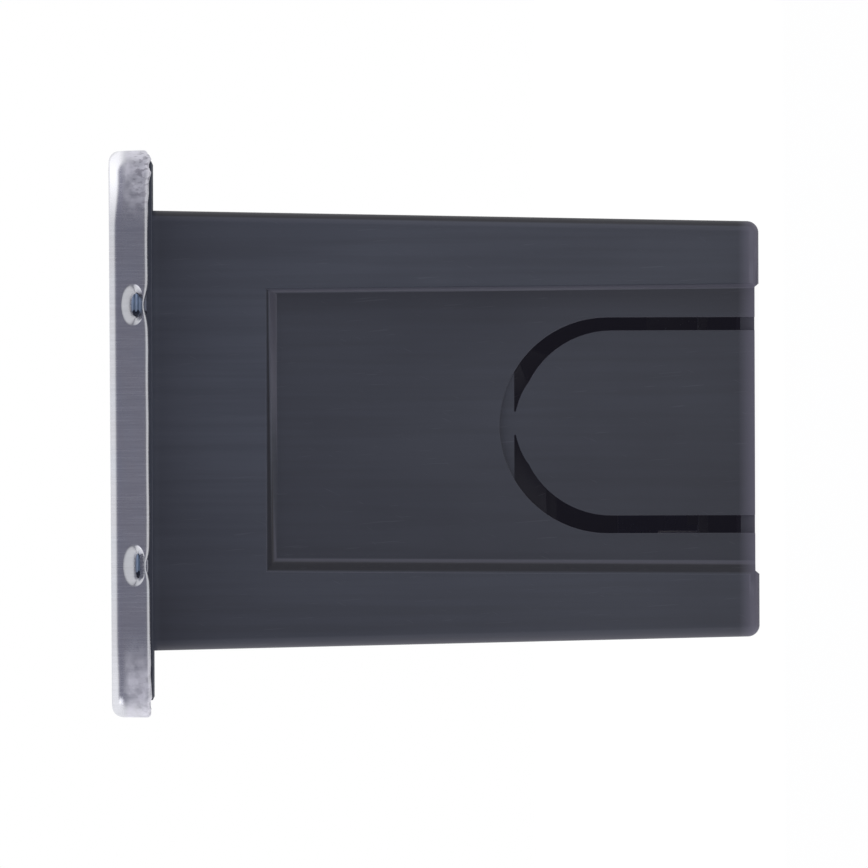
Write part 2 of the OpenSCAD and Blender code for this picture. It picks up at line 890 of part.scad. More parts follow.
module motor_shaft() {
    color(STEEL)
        rod_y(pinion_x, pinion_z, motor_shaft_r, [gear_y[0] - 2.2, motor_plate_y[1] + 8]);
}

// ---- Motor ----

module gearbox() {
    y0 = motor_plate_y[1];
    color(STEEL)
        difference() {
            union() {
                rod_y(pinion_x, pinion_z, gearbox_r, [y0, y0 + gearbox_l]);
                rod_y(pinion_x, pinion_z, 4.8, [y0 - plate_t, y0 + 1]);
            }
            rod_y(pinion_x, pinion_z, motor_shaft_r + CLEAR, [y0 - 3, y0 + 8.3]);
            for (a = MOTOR_SCREWS)
                rod_y(pinion_x + motor_screw_r * cos(a), pinion_z + motor_screw_r * sin(a), SCREW_R,
                    [y0 - 1, y0 + 5]);
        }
}

module motor_can() {
    y0 = motor_plate_y[1] + gearbox_l;
    color(STAINLESS)
        difference() {
            rod_y(pinion_x, pinion_z, gearbox_r - 0.3, [y0, y0 + can_l]);
            for (sx = [-1, 1])
                translate([pinion_x + sx * (gearbox_r + 4.2) - 5, y0 + 4, pinion_z - 15])
                    cube([10, can_l - 8, 30]);
        }
}

module motor_end_cap() {
    y0 = motor_plate_y[1] + gearbox_l + can_l;
    color(DARK_PLASTIC)
        difference() {
            union() {
                rod_y(pinion_x, pinion_z, 9, [y0, y0 + 1.6]);
                rod_y(pinion_x, pinion_z, 3.5, [y0, y0 + 2.4]);
            }
            for (sx = [-1, 1])
                translate([pinion_x + sx * 6 - 1.4, y0 - 1, pinion_z - 0.4])
                    cube([2.8, 4, 0.8]);
        }
}

module motor_terminals() {
    y0 = motor_plate_y[1] + gearbox_l + can_l;
    color(BRASS)
        for (sx = [-1, 1])
            difference() {
                translate([pinion_x + sx * 6 - 1.4, y0, pinion_z - 0.4])
                    cube([2.8, 4.6, 0.8]);
                translate([pinion_x + sx * 6, y0 + 3.2, pinion_z - 1])
                    cylinder(r = 0.6, h = 2);
            }
}

module motor_screws() {
    color(ZINC)
        for (a = MOTOR_SCREWS)
            screw_y(pinion_x + motor_screw_r * cos(a), pinion_z + motor_screw_r * sin(a),
                motor_plate_y[0], SCREW_SHANK_R, 5.5, 1.9, 1.1);
}

// ---- Tag plunger and sensors ----

module plunger() {
    dome_h = 1;
    color(ACETAL)
        translate([plunger_x, plunger_y, 0])
            union() {
                rotate_extrude()
                    polygon(concat(
                        [[0, stem_end_z], [stem_r, stem_end_z], [stem_r, plunger_flange_z],
                        [plunger_flange_r, plunger_flange_z],
                        [plunger_flange_r, plunger_flange_z + plate_t],
                        [plunger_r, plunger_flange_z + plate_t]],
                        [for (a = [0 : 15 : 90])
                            [plunger_r * cos(a), nest_floor + plunger_travel - dome_h + dome_h * sin(a)]]));
                translate([-1.2, -0.6, blade_z])
                    cube([2.4, 1.2, stem_end_z - blade_z + 1]);
            }
}

module plunger_clip() {
    z0 = seat_z - plate_t - 0.1 - 0.7;
    color(STEEL)
        translate([plunger_x, plunger_y, z0])
            difference() {
                cylinder(r = 3, h = 0.7);
                translate([0, 0, -1])
                    cylinder(r = stem_r, h = 3);
                translate([-0.9, -4, -1])
                    cube([1.8, 4, 3]);
            }
}

// Point on the spring wire's surface: s runs along the wire, q runs round it
function wire_point(s, q, coil_r, wire_r, z0, rise, turns) =
    let (r = coil_r + wire_r * cos(q))
    [r * cos(s * 360 * turns), r * sin(s * 360 * turns), z0 + rise * s + wire_r * sin(q)];

module plunger_spring() {
    wire_r = 0.35;
    coil_r = 2.7;
    turns = 6;
    sides = 8;
    rings = 90;
    z0 = seat_z + wire_r + EPS;
    rise = plunger_flange_z - seat_z - 2 * wire_r - 2 * EPS;
    points = [for (i = [0 : rings], j = [0 : sides - 1])
        wire_point(i / rings, j * 360 / sides, coil_r, wire_r, z0, rise, turns)];
    walls = [for (i = [0 : rings - 1], j = [0 : sides - 1])
        let (k = (j + 1) % sides)
        [i * sides + j, (i + 1) * sides + j, (i + 1) * sides + k, i * sides + k]];
    first_end = [for (j = [0 : sides - 1]) j];
    last_end = [for (j = [sides - 1 : -1 : 0]) rings * sides + j];
    color(STEEL)
        translate([plunger_x, plunger_y, 0])
            polyhedron(points = points, faces = concat(walls, [first_end, last_end]));
}

// Slotted optical sensor: the beam crosses a slot that opens along +X
module slot_sensor(body_l, body_w, slot_l, slot_y, y_span) {
    difference() {
        translate([0, y_span[0], -body_w / 2])
            cube([body_l, y_span[1] - y_span[0], body_w]);
        translate([-1, slot_y[0], -body_w])
            cube([slot_l + 1, slot_y[1] - slot_y[0], 2 * body_w]);
    }
}

// Sensor whose slot faces the hub from direction dir
module hub_sensor(dir) {
    slot_in = 10;
    color(DARK_PLASTIC)
        translate([0, 0, hub_z])
            rotate([0, -dir, 0])
                translate([slot_in, 0, 0])
                    slot_sensor(9, 5, 5, [flag_y[0] - 0.8, flag_y[1] + 0.8], [5, far_plate_y[0]]);
}

module home_sensor() {
    hub_sensor(flag_dir);
}

module end_sensor() {
    hub_sensor(flag_dir - swing);
}

module tag_sensor() {
    color(DARK_PLASTIC)
        translate([plunger_x, 0, seat_z - 8.3])
            rotate([0, 90, 0])
                slot_sensor(9, 7, 6.5, [plunger_y - 1.1, plunger_y + 1.1],
                    [plunger_y - 3.5, far_plate_y[0]]);
}

// ---- Electronics ----

module circuit_board() {
    color(BOARD_GREEN)
        difference() {
            translate([-board_w / 2, board_y[0], board_z])
                cube([board_w, board_y[1] - board_y[0], board_t]);
            for (p = board_posts)
                translate([p[0], p[1], board_z - 1])
                    cylinder(r = 1.4, h = board_t + 2);
        }
}

module board_screws() {
    color(ZINC)
        for (p = board_posts)
            translate([p[0], p[1], board_top])
                screw(1.08, 6.5, 2.2, 1.5);
}

module board_capacitors() {
    color([0.1, 0.12, 0.2])
        for (x = [-14, -2])
            translate([x, 6, board_top]) {
                cylinder(r = 5, h = 14);
                cylinder(r = 5.2, h = 1.5);
            }
}

module board_chips() {
    color(DARK_PLASTIC) {
        translate([-17, -12, board_top])
            cube([10, 10, 1.8]);
        translate([8, -8, board_top])
            cube([6, 8, 1.8]);
        translate([16, -10, board_top])
            cube([7, 4.5, 9]);
    }
}

module board_connectors() {
    color([0.92, 0.9, 0.84])
        for (p = [[9, 8, 8], [-24, -8, 6]])
            translate([p[0], p[1], board_top])
                difference() {
                    cube([p[2], 6, 7]);
                    translate([0.8, 0.8, 1])
                        cube([p[2] - 1.6, 4.4, 7]);
                }
}

module terminal_block() {
    color([0.12, 0.35, 0.18])
        difference() {
            translate([-8, -27, board_top])
                cube([16, 8.5, 9]);
            for (x = [-5, 0, 5]) {
                translate([x, -22.7, board_top + 5])
                    cylinder(r = 1.7, h = 5);
                translate([x - 1.5, -28, board_top + 1.5])
                    cube([3, 5, 3]);
            }
        }
}

module terminal_screws() {
    color(ZINC)
        for (x = [-5, 0, 5])
            translate([x, -22.7, board_top + 5])
                difference() {
                    cylinder(r = 1.6, h = 2.6);
                    translate([-2, -0.3, 1.8])
                        cube([4, 0.6, 2]);
                }
}

module power_jack() {
    z0 = end_groove + 0.1;
    color(DARK_PLASTIC)
        difference() {
            translate([0, jack_y, 0])
                union() {
                    translate([0, 0, z0])
                        cylinder(r = jack_r + 1.5, h = 1);
                    translate([0, 0, z0 + 0.5])
                        cylinder(r = jack_r, h = 7);
                    translate([0, 0, z0 + 7])
                        cylinder(r = jack_r - 0.4, h = 5);
                }
            translate([0, jack_y, z0 - 1])
                cylinder(r = 2.8, h = 10);
            translate([0, jack_y, z0])
                cylinder(r = 1.02, h = 10);
        }
}

module jack_pin() {
    color(BRASS)
        translate([0, jack_y, end_groove + 1.6])
            cylinder(r = 1, h = 8.4);
}

module jack_nut() {
    color(ZINC)
        translate([0, jack_y, end_wall_z])
            difference() {
                hex(11, 2);
                translate([0, 0, -1])
                    cylinder(r = jack_r + THREAD_GAP, h = 4);
            }
}

housing();
face_cap();
cap_studs();
cap_nuts();
nest_deck();
deck_screws();
chassis();
chassis_screws();
gear_plate();
gear_standoffs();
gear_plate_screws();
shaft_bushings();
hub_shaft();
shaft_clips();
probe_hub();
probe();
probe_pin();
sector_gear();
sector_screws();
idler_gear();
idler_axle();
idler_clip();
pinion();
pinion_set_screw();
motor_shaft();
gearbox();
motor_can();
motor_end_cap();
motor_terminals();
motor_screws();
plunger();
plunger_clip();
plunger_spring();
tag_sensor();
home_sensor();
end_sensor();
circuit_board();
board_screws();
board_capacitors();
board_chips();
board_connectors();
terminal_block();
terminal_screws();
power_jack();
jack_pin();
jack_nut();
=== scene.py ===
# Looks of a drop-in security tag detacher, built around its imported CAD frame. Lengths are in metres.
import json
import math

import bmesh
import bpy
from mathutils import Matrix, Vector, noise


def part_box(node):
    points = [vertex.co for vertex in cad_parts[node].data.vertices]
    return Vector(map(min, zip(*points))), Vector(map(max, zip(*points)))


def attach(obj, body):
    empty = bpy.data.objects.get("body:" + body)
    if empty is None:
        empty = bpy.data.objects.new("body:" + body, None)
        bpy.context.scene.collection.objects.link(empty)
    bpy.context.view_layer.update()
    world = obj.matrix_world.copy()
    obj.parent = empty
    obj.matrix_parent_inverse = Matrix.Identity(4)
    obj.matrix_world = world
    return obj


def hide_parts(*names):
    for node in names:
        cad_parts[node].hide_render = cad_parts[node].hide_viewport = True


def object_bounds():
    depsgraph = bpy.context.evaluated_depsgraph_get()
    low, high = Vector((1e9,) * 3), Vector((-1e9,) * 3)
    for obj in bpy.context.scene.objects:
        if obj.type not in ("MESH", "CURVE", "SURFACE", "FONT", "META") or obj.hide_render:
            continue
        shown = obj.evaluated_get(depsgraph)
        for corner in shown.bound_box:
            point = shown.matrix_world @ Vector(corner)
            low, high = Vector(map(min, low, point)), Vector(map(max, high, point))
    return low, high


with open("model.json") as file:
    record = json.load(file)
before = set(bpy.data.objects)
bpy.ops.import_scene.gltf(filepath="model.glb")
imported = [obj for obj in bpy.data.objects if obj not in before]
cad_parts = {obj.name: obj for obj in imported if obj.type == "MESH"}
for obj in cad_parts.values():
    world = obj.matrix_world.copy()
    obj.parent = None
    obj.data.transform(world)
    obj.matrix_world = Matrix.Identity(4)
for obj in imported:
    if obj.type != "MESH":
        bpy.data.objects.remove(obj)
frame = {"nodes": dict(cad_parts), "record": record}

CAD_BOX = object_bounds()
MM = 0.001
NODES = frame["nodes"]
RECORD = frame["record"]
SLOT_OF = {row["node"]: row["material_slot"] for row in RECORD["subparts"]}
BASE_COLOUR = {row["slot"]: row["base_color"] for row in RECORD["materials"]}
BODY_OF = {node: body for body, nodes in RECORD["behaviour"]["bodies"].items() for node in nodes}
# The tub's half width at its end, the height of the flange, and how fast the tub widens up to it.
TUB_END = 36.65 * MM
FLANGE_Z = 107.1 * MM
TUB_DRAFT = 2.2 * MM / FLANGE_Z
STUD_R = 2.0 * MM
THREAD_PITCH = 0.7 * MM
# The photo's lifted blacks: what every finish without a glow of its own sends out.
GLARE = (0.0075, 0.007, 0.0105, 1)


# ---- Node helpers ----

def add_range(tree, value, low, high, to_low=0.0, to_high=1.0, smooth=False):
    """A node that takes low..high to to_low..to_high. The value may be a socket or a number."""
    node = tree.nodes.new("ShaderNodeMapRange")
    node.interpolation_type = "SMOOTHSTEP" if smooth else "LINEAR"
    for name, number in (("From Min", low), ("From Max", high), ("To Min", to_low), ("To Max", to_high)):
        node.inputs[name].default_value = number
    put(tree, node.inputs["Value"], value)
    return node


def add_mix(tree, factor, a, b, blend="MIX"):
    """The colour that lies between a and b."""
    node = tree.nodes.new("ShaderNodeMix")
    node.data_type = "RGBA"
    node.blend_type = blend
    for socket, value in ((node.inputs["Factor"], factor), (node.inputs[6], a), (node.inputs[7], b)):
        put(tree, socket, value)
    return node.outputs[2]


def put(tree, socket, value):
    """Links a socket to another one, or sets its number."""
    if isinstance(value, bpy.types.NodeSocket):
        tree.links.new(value, socket)
    else:
        socket.default_value = value


def mix_shaders(tree, factor, a, b):
    """The shader that lies between a and b."""
    node = tree.nodes.new("ShaderNodeMixShader")
    for socket, source in zip(node.inputs, (factor, a, b)):
        tree.links.new(source, socket)
    return node.outputs[0]


# ---- Camera, floor and light ----

def add_camera():
    """A long lens that looks along +Y with the face plate on the left, `seen_width` wide at `seen_plane`.

    It stands beside the middle of the view and is turned back towards it by `aside`.
    """
    distance = 7.0
    roll = math.radians(0.18)
    middle_z, stand_z = 57.41 * MM, 85 * MM
    sensor = 0.036
    seen_width = 153.1 * MM
    seen_plane = -42 * MM
    camera = bpy.data.objects.new("camera", bpy.data.cameras.new("camera"))
    bpy.context.scene.collection.objects.link(camera)
    camera.data.sensor_width = sensor / MM
    camera.data.lens = sensor / MM * (distance + seen_plane) / seen_width
    camera.data.clip_end = 20
    right, up, back = (0, 0, -1), (1, 0, 0), (0, -1, 0)
    upright = Matrix((right, up, back)).transposed()
    aside = math.atan2(stand_z - middle_z, distance + seen_plane)
    turn = Matrix.Rotation(-aside, 3, "Y") @ Matrix.Rotation(-roll, 3, "Z")
    camera.matrix_world = (upright @ turn).to_4x4()
    camera.location = (-0.77 * MM, -distance, stand_z)
    bpy.context.scene.camera = camera


def add_floor():
    """A pale floor that shows only from above, darker towards -Y as the room in front of the object is."""
    mesh = bpy.data.meshes.new("floor")
    half = 6.0
    corners = [(-half, -half, 0), (half, -half, 0), (half, half, 0), (-half, half, 0)]
    mesh.from_pydata(corners, [], [(0, 1, 2, 3)])
    floor = bpy.data.objects.new("floor", mesh)
    bpy.context.scene.collection.objects.link(floor)
    floor.location.z = CAD_BOX[0].z - 0.05 * MM
    material = bpy.data.materials.new("floor")
    material.use_nodes = True
    tree = material.node_tree
    nodes = tree.nodes
    nodes.clear()
    split = nodes.new("ShaderNodeSeparateXYZ")
    put(tree, split.inputs[0], nodes.new("ShaderNodeTexCoord").outputs["Object"])
    front = add_range(tree, split.outputs["Y"], -0.15, -0.4).outputs[0]
    paint = nodes.new("ShaderNodeBsdfDiffuse")
    put(tree, paint.inputs["Color"], add_mix(tree, front, (0.82, 0.82, 0.83, 1), (0.24, 0.24, 0.27, 1)))
    glow = nodes.new("ShaderNodeEmission")
    glow.inputs["Strength"].default_value = 1.06
    seen = nodes.new("ShaderNodeLightPath").outputs["Is Camera Ray"]
    unseen = add_range(tree, front, 0.0, 1.0, 0.4, 0.0).outputs[0]
    share = add_range(tree, seen, 0.0, 1.0, 0.0, 0.92)
    put(tree, share.inputs["To Min"], unseen)
    lit = mix_shaders(tree, share.outputs[0], paint.outputs[0], glow.outputs[0])
    clear = nodes.new("ShaderNodeBsdfTransparent").outputs[0]
    behind = nodes.new("ShaderNodeNewGeometry").outputs["Backfacing"]
    output = nodes.new("ShaderNodeOutputMaterial")
    put(tree, output.inputs["Surface"], mix_shaders(tree, behind, lit, clear))
    mesh.materials.append(material)


def add_studio():
    """White walls all round with a dark gap towards -Y, seen as plain white behind the object."""
    world = bpy.data.worlds.new("studio")
    bpy.context.scene.world = world
    world.use_nodes = True
    tree = world.node_tree
    nodes = tree.nodes
    nodes.clear()
    split = nodes.new("ShaderNodeSeparateXYZ")
    put(tree, split.inputs[0], nodes.new("ShaderNodeTexCoord").outputs["Generated"])
    gap = add_range(tree, split.outputs["Y"], -0.42, -0.78, smooth=True).outputs[0]
    lean = nodes.new("ShaderNodeMath")
    lean.operation = "MULTIPLY_ADD"
    rise = add_range(tree, split.outputs["Z"], -1.0, 1.0, 0.75, 1.1).outputs[0]
    for socket, value in zip(lean.inputs, (split.outputs["X"], -0.08, rise)):
        put(tree, socket, value)
    wall = add_mix(tree, 1.0, (0.97, 0.97, 1.0, 1), lean.outputs[0], "MULTIPLY")
    light = nodes.new("ShaderNodeBackground")
    put(tree, light.inputs["Color"], add_mix(tree, gap, wall, (0.215, 0.215, 0.275, 1)))
    plain = nodes.new("ShaderNodeBackground")
    plain.inputs["Color"].default_value = (1, 1, 1, 1)
    seen = nodes.new("ShaderNodeLightPath").outputs["Is Camera Ray"]
    output = nodes.new("ShaderNodeOutputWorld")
    put(tree, output.inputs["Surface"], mix_shaders(tree, seen, light.outputs[0], plain.outputs[0]))


def add_softbox(name, place, size, power):
    """A square area light that faces the middle of the object."""
    light = bpy.data.lights.new(name, "AREA")
    light.shape = "SQUARE"
    light.size = size
    light.energy = power
    light.color = (0.97, 0.97, 1.0)
    box = bpy.data.objects.new(name, light)
    bpy.context.scene.collection.objects.link(box)
    box.location = place
    aim = (CAD_BOX[0] + CAD_BOX[1]) / 2 - Vector(place)
    box.rotation_euler = aim.to_track_quat("-Z", "Y").to_euler()


# ---- Materials ----

class Finish:
    """One procedural material, with short calls that add nodes in the part's own frame and join them."""

    def __init__(self, name, metallic=0.0, specular=0.5):
        self.material = bpy.data.materials.new(name)
        self.material.use_nodes = True
        self.tree = self.material.node_tree
        self.shader = self.tree.nodes["Principled BSDF"]
        self.shader.inputs["Metallic"].default_value = metallic
        self.shader.inputs["Specular IOR Level"].default_value = specular
        where = self.tree.nodes.new("ShaderNodeTexCoord")
        self.place, self.facing = where.outputs["Object"], where.outputs["Normal"]
        self.normal = None

    def set(self, name, value):
        """Sets one of the shader's inputs by name."""
        put(self.tree, self.shader.inputs[name], value)

    def math(self, operation, *values):
        node = self.tree.nodes.new("ShaderNodeMath")
        node.operation = operation
        for socket, value in zip(node.inputs, values):
            put(self.tree, socket, value)
        return node.outputs[0]

    def times(self, first, *others):
        """The product of two or more values."""
        for other in others:
            first = self.math("MULTIPLY", first, other)
        return first

    def rest(self, share):
        """What is left of 1."""
        return self.math("SUBTRACT", 1.0, share)

    def axis(self, name, source=None):
        node = self.tree.nodes.new("ShaderNodeSeparateXYZ")
        put(self.tree, node.inputs[0], source or self.place)
        return node.outputs[name]

    def noise(self, size, detail=2.0, shift=0.0, source=None):
        """Noise with features of about that size, one for all axes or one for each."""
        sizes = size if isinstance(size, tuple) else (size, size, size)
        mapping = self.tree.nodes.new("ShaderNodeMapping")
        mapping.inputs["Location"].default_value = (shift, shift * 1.7, shift * 2.3)
        mapping.inputs["Scale"].default_value = [1 / s for s in sizes]
        put(self.tree, mapping.inputs["Vector"], source or self.place)
        texture = self.tree.nodes.new("ShaderNodeTexNoise")
        texture.inputs["Scale"].default_value = 1.0
        texture.inputs["Detail"].default_value = detail
        put(self.tree, texture.inputs["Vector"], mapping.outputs[0])
        return texture.outputs[0]

    def span(self, value, low, high, to_low=0.0, to_high=1.0, smooth=False):
        """The value taken from low..high to to_low..to_high and held at the ends."""
        return add_range(self.tree, value, low, high, to_low, to_high, smooth).outputs[0]

    def mix(self, factor, a, b):
        return add_mix(self.tree, factor, a, b)

    def streaks(self, size, share, shift=0.0, lean=0.0):
        """Straight marks, 1 on a mark: the peaks of a stretched noise, turned by `lean` degrees round Y."""
        turned = self.tree.nodes.new("ShaderNodeMapping")
        turned.inputs["Rotation"].default_value = (0, math.radians(lean), 0)
        put(self.tree, turned.inputs["Vector"], self.place)
        lines = self.noise(size, 1.0, shift, turned.outputs[0])
        return self.span(lines, 1 - share, 1.03 - share)

    def bump(self, height, depth):
        """Adds a bump on top of those added before."""
        node = self.tree.nodes.new("ShaderNodeBump")
        node.inputs["Distance"].default_value = depth
        put(self.tree, node.inputs["Height"], height)
        if self.normal:
            put(self.tree, node.inputs["Normal"], self.normal)
        self.normal = node.outputs[0]

    def glow(self, colour):
        self.set("Emission Color", colour)
        self.set("Emission Strength", 1.0)

    def done(self, colour, roughness):
        """The finished material, with GLARE for its glow if it has none."""
        if not self.shader.inputs["Emission Strength"].default_value:
            self.glow(GLARE)
        self.set("Base Color", colour)
        self.set("Roughness", roughness)
        if self.normal:
            self.set("Normal", self.normal)
        return self.material


def rgba(colour, gain=1.0):
    """The colour times the gain, held at 1, with an alpha of 1."""
    return (*(min(1.0, c * gain) for c in colour), 1.0)


RUBBED = (0.2, 0.21, 0.24, 1)
LIT_EDGE = (0.15, 0.15, 0.19, 1)


def moulded_black():
    """Satin black moulding: fine lines along the pull of the mould, haze, rubs, a channel darkened by
    painted shade, and ends made pale by a painted highlight.
    """
    f = Finish("black_moulded")
    colour = BASE_COLOUR["black_moulded"]
    x, y, z = f.axis("X"), f.axis("Y"), f.axis("Z")
    level, aside = f.math("ABSOLUTE", f.axis("Y", f.facing)), f.axis("X", f.facing)
    depth = f.math("SUBTRACT", f.math("MULTIPLY_ADD", z, TUB_DRAFT, TUB_END), f.math("ABSOLUTE", y))

    haze = f.noise((22 * MM, 22 * MM, 30 * MM), 3.0)
    grain = f.noise((0.22 * MM, 0.22 * MM, 12 * MM), 2.0)
    bands = f.noise((1.6 * MM, 1.6 * MM, 60 * MM), 2.0, 5.0)
    speck = f.noise(0.22 * MM, 2.0, 3.0)
    tone = f.mix(f.span(haze, 0.32, 0.7), rgba(colour, 0.86), rgba(colour, 1.28))
    tone = f.mix(f.span(z, 10 * MM, 80 * MM, 0.0, 0.5), tone, rgba(colour, 1.75))
    tone = f.mix(f.span(grain, 0.35, 0.65, 0.0, 0.25), tone, rgba(colour, 1.3))
    tone = f.mix(f.span(bands, 0.4, 0.65, 0.0, 0.25), tone, rgba(colour, 0.5))

    # The sunk channel darkened with painted shade, a painted shadow on the floor beside its +X wall, and
    # the walls with painted shade where they face +X or -Z and a painted highlight where they face -X.
    sunk = f.times(f.span(depth, 0.9 * MM, 1.9 * MM, 0.0, 0.42), f.span(depth, 6 * MM, 5 * MM))
    tone = f.mix(sunk, tone, rgba(colour, 0.2))
    painted_shadow_below_top = f.times(f.span(depth, 1.9 * MM, 2.1 * MM), f.span(x, 20 * MM, 23.6 * MM, 0.0, 0.6))
    tone = f.mix(painted_shadow_below_top, tone, rgba(colour, 0.1))
    walls = f.times(f.span(depth, 0.25 * MM, 0.5 * MM), f.span(depth, 3.4 * MM, 2.9 * MM),
                    f.span(level, 0.985, 0.93))
    tone = f.mix(f.times(walls, f.span(aside, -0.25, 0.02, 0.0, 0.95)), tone, rgba(colour, 0.05))
    tone = f.mix(f.times(walls, f.span(aside, -0.25, -0.5, 0.0, 0.5)), tone, (0.13, 0.125, 0.16, 1))
    # Painted shade that darkens the side towards -X; the side towards +X is a little darker too.
    tone = f.mix(f.span(x, 0.0, -34 * MM, 0.0, 0.52), tone, rgba(colour, 0.35))
    tone = f.mix(f.span(x, 12 * MM, 34 * MM, 0.0, 0.25), tone, rgba(colour, 0.3))

    # Light on the rounded lips of the channel and at the foot of its walls.
    bent = f.times(f.span(level, 0.995, 0.97), f.span(level, 0.78, 0.86))
    foot = f.times(f.span(depth, 1.6 * MM, 1.8 * MM, 0.0, 0.8), f.span(aside, 0.02, 0.2))
    ledge = f.math("MAXIMUM", f.span(depth, 0.45 * MM, 0.3 * MM), foot)
    ledge = f.times(ledge, f.span(f.math("ABSOLUTE", x), 30 * MM, 28 * MM, 0.2, 1.0))
    tone = f.mix(f.times(bent, ledge, 0.55), tone, LIT_EDGE)

    # Handling marks, a painted highlight that makes the end pale, and the flange.
    rubs = f.streaks((0.3 * MM, 0.3 * MM, 9 * MM), 0.28, 1.0, 4)
    nicks = f.streaks((0.25 * MM, 0.25 * MM, 4 * MM), 0.25, 6.0, -24)
    tone = f.mix(f.times(rubs, 0.09), tone, RUBBED)
    tone = f.mix(f.times(nicks, 0.1), tone, RUBBED)
    tone = f.mix(f.span(z, 3.6 * MM, 0.6 * MM, 0.0, 0.65), tone, (0.19, 0.18, 0.235, 1))
    flange = f.span(z, FLANGE_Z - 1.5 * MM, FLANGE_Z - 0.2 * MM)
    tone = f.mix(f.times(flange, 0.3), tone, rgba(colour, 2.0))

    rough = f.math("ADD", f.span(haze, 0.3, 0.7, 0.4, 0.5), f.span(grain, 0.3, 0.7, -0.04, 0.05))
    rough = f.math("MAXIMUM", rough, f.times(flange, 0.95))
    f.bump(grain, 0.004 * MM)
    f.bump(speck, 0.003 * MM)
    return f.done(tone, rough)


def brushed_cap():
    """Brushed stainless: fine lines, stained clouds, painted shade towards +X, and corners ground pale with
    painted shade in their creases and a painted highlight on their bend.
    """
    f = Finish("cap_stainless", metallic=1.0)
    low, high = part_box("face_cap")
    steel = BASE_COLOUR["stainless"]
    x, y, z = f.axis("X"), f.axis("Y"), f.axis("Z")

    def near_edge(place, edge):
        return f.span(f.math("ABSOLUTE", place), edge - 15 * MM, edge - 4 * MM, smooth=True)

    # The lines run along Y on the face, down the +Y and -Y sides and round the +X and -X sides.
    on_x_side = f.span(f.math("ABSOLUTE", f.axis("X", f.facing)), 0.6, 0.8)
    both = f.tree.nodes.new("ShaderNodeMix")
    put(f.tree, both.inputs[0], on_x_side)
    put(f.tree, both.inputs[2], f.noise((0.13 * MM, 30 * MM, 7 * MM), 3.0))
    put(f.tree, both.inputs[3], f.noise((20 * MM, 30 * MM, 0.13 * MM), 3.0, 5.0))
    lines = both.outputs[0]
    wide = f.noise((0.7 * MM, 30 * MM, 5 * MM), 2.0, 8.0)
    cloud = f.noise((7 * MM, 7 * MM, 4 * MM), 3.0, 2.0)
    tone = f.mix(f.span(lines, 0.3, 0.7), rgba(steel, 0.9), rgba(steel, 1.06))
    tone = f.mix(f.span(wide, 0.35, 0.65, 0.0, 0.35), tone, rgba(steel, 0.82))
    tone = f.mix(f.span(cloud, 0.4, 0.75, 0.0, 0.3), tone, rgba((0.56, 0.62, 0.68)))
    # Painted shade, darker towards +X.
    tone = f.mix(f.span(x, 0.0, high.x, 0.0, 0.18), tone, rgba(steel, 0.55))

    # Ground corners, with creases at the rear edge darkened as painted shade and a white painted highlight
    # on the bend at the front.
    corner = f.times(near_edge(x, high.x), near_edge(y, high.y))
    rear = f.span(z, high.z - 1.6 * MM, high.z - 3.4 * MM, smooth=True)
    ground = f.times(corner, rear, f.span(f.noise(1.6 * MM, 3.0, 12.0), 0.3, 0.62, 0.35, 1.0))
    tone = f.mix(ground, tone, (0.84, 0.83, 0.89, 1))
    upper = f.span(x, -5 * MM, 5 * MM, 0.25, 1.0)
    folded = f.times(corner, f.span(z, low.z + 3.6 * MM, low.z + 1.6 * MM, smooth=True))
    painted_crease_shade = f.span(f.noise((0.9 * MM, 0.9 * MM, 1.4 * MM), 3.0, 3.0), 0.5, 0.6)
    tone = f.mix(f.times(folded, painted_crease_shade, upper, 0.6), tone, (0.2, 0.19, 0.23, 1))
    off_face = f.span(f.axis("Z", f.facing), 0.995, 0.9, smooth=True)
    tone = f.mix(f.times(corner, f.rest(rear), upper, off_face), tone, (0.98, 0.98, 1.0, 1))

    rough = f.math("ADD", f.span(lines, 0.3, 0.7, 0.2, 0.28), f.times(ground, 0.28))
    f.bump(f.times(lines, f.rest(ground)), 0.004 * MM)
    f.bump(f.times(f.noise(0.5 * MM, 2.0, 7.0), ground), 0.03 * MM)
    f.set("Metallic", f.rest(f.times(ground, 0.6)))
    return f.done(tone, rough)


def ground_steel_painted_glow():
    """Pressed and ground steel round the dimples: pale, with a fine grain and a painted glow that brightens
    it.
    """
    f = Finish("ground_steel_painted_glow", metallic=0.15)
    grain = f.noise(0.3 * MM)
    cloud = f.noise(1.6 * MM, 2.0, 4.0)
    tone = f.mix(f.span(cloud, 0.3, 0.7), (0.97, 0.94, 1.0, 1), (1.0, 0.98, 1.0, 1))
    f.bump(grain, 0.008 * MM)
    # Painted glow that brightens the dimples.
    f.glow((0.13, 0.115, 0.15, 1))
    return f.done(tone, f.span(grain, 0.3, 0.7, 0.3, 0.4))


def stud_zinc_painted_glow():
    """Blue zinc plate on the weld studs, with painted highlights on the crests and a painted glow that
    lifts it in its holes.
    """
    f = Finish("stud_zinc_painted_glow", metallic=0.7)
    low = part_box("cap_studs")[0]
    turns = f.math("DIVIDE", f.math("SUBTRACT", f.axis("Z"), low.z), THREAD_PITCH)
    cloud = f.noise(0.8 * MM)
    # Painted highlight on the crests of the thread, in both the colour and the glow.
    crest = f.times(f.span(f.math("PINGPONG", turns, 0.5), 0.12, 0.4, smooth=True),
                    f.span(cloud, 0.3, 0.7, 0.75, 1.0))
    tone = f.mix(crest, (0.2, 0.25, 0.32, 1), (0.42, 0.48, 0.58, 1))
    f.bump(cloud, 0.01 * MM)
    f.glow(f.mix(crest, (0.045, 0.06, 0.09, 1), (0.14, 0.17, 0.235, 1)))
    return f.done(tone, f.span(cloud, 0.3, 0.7, 0.3, 0.4))


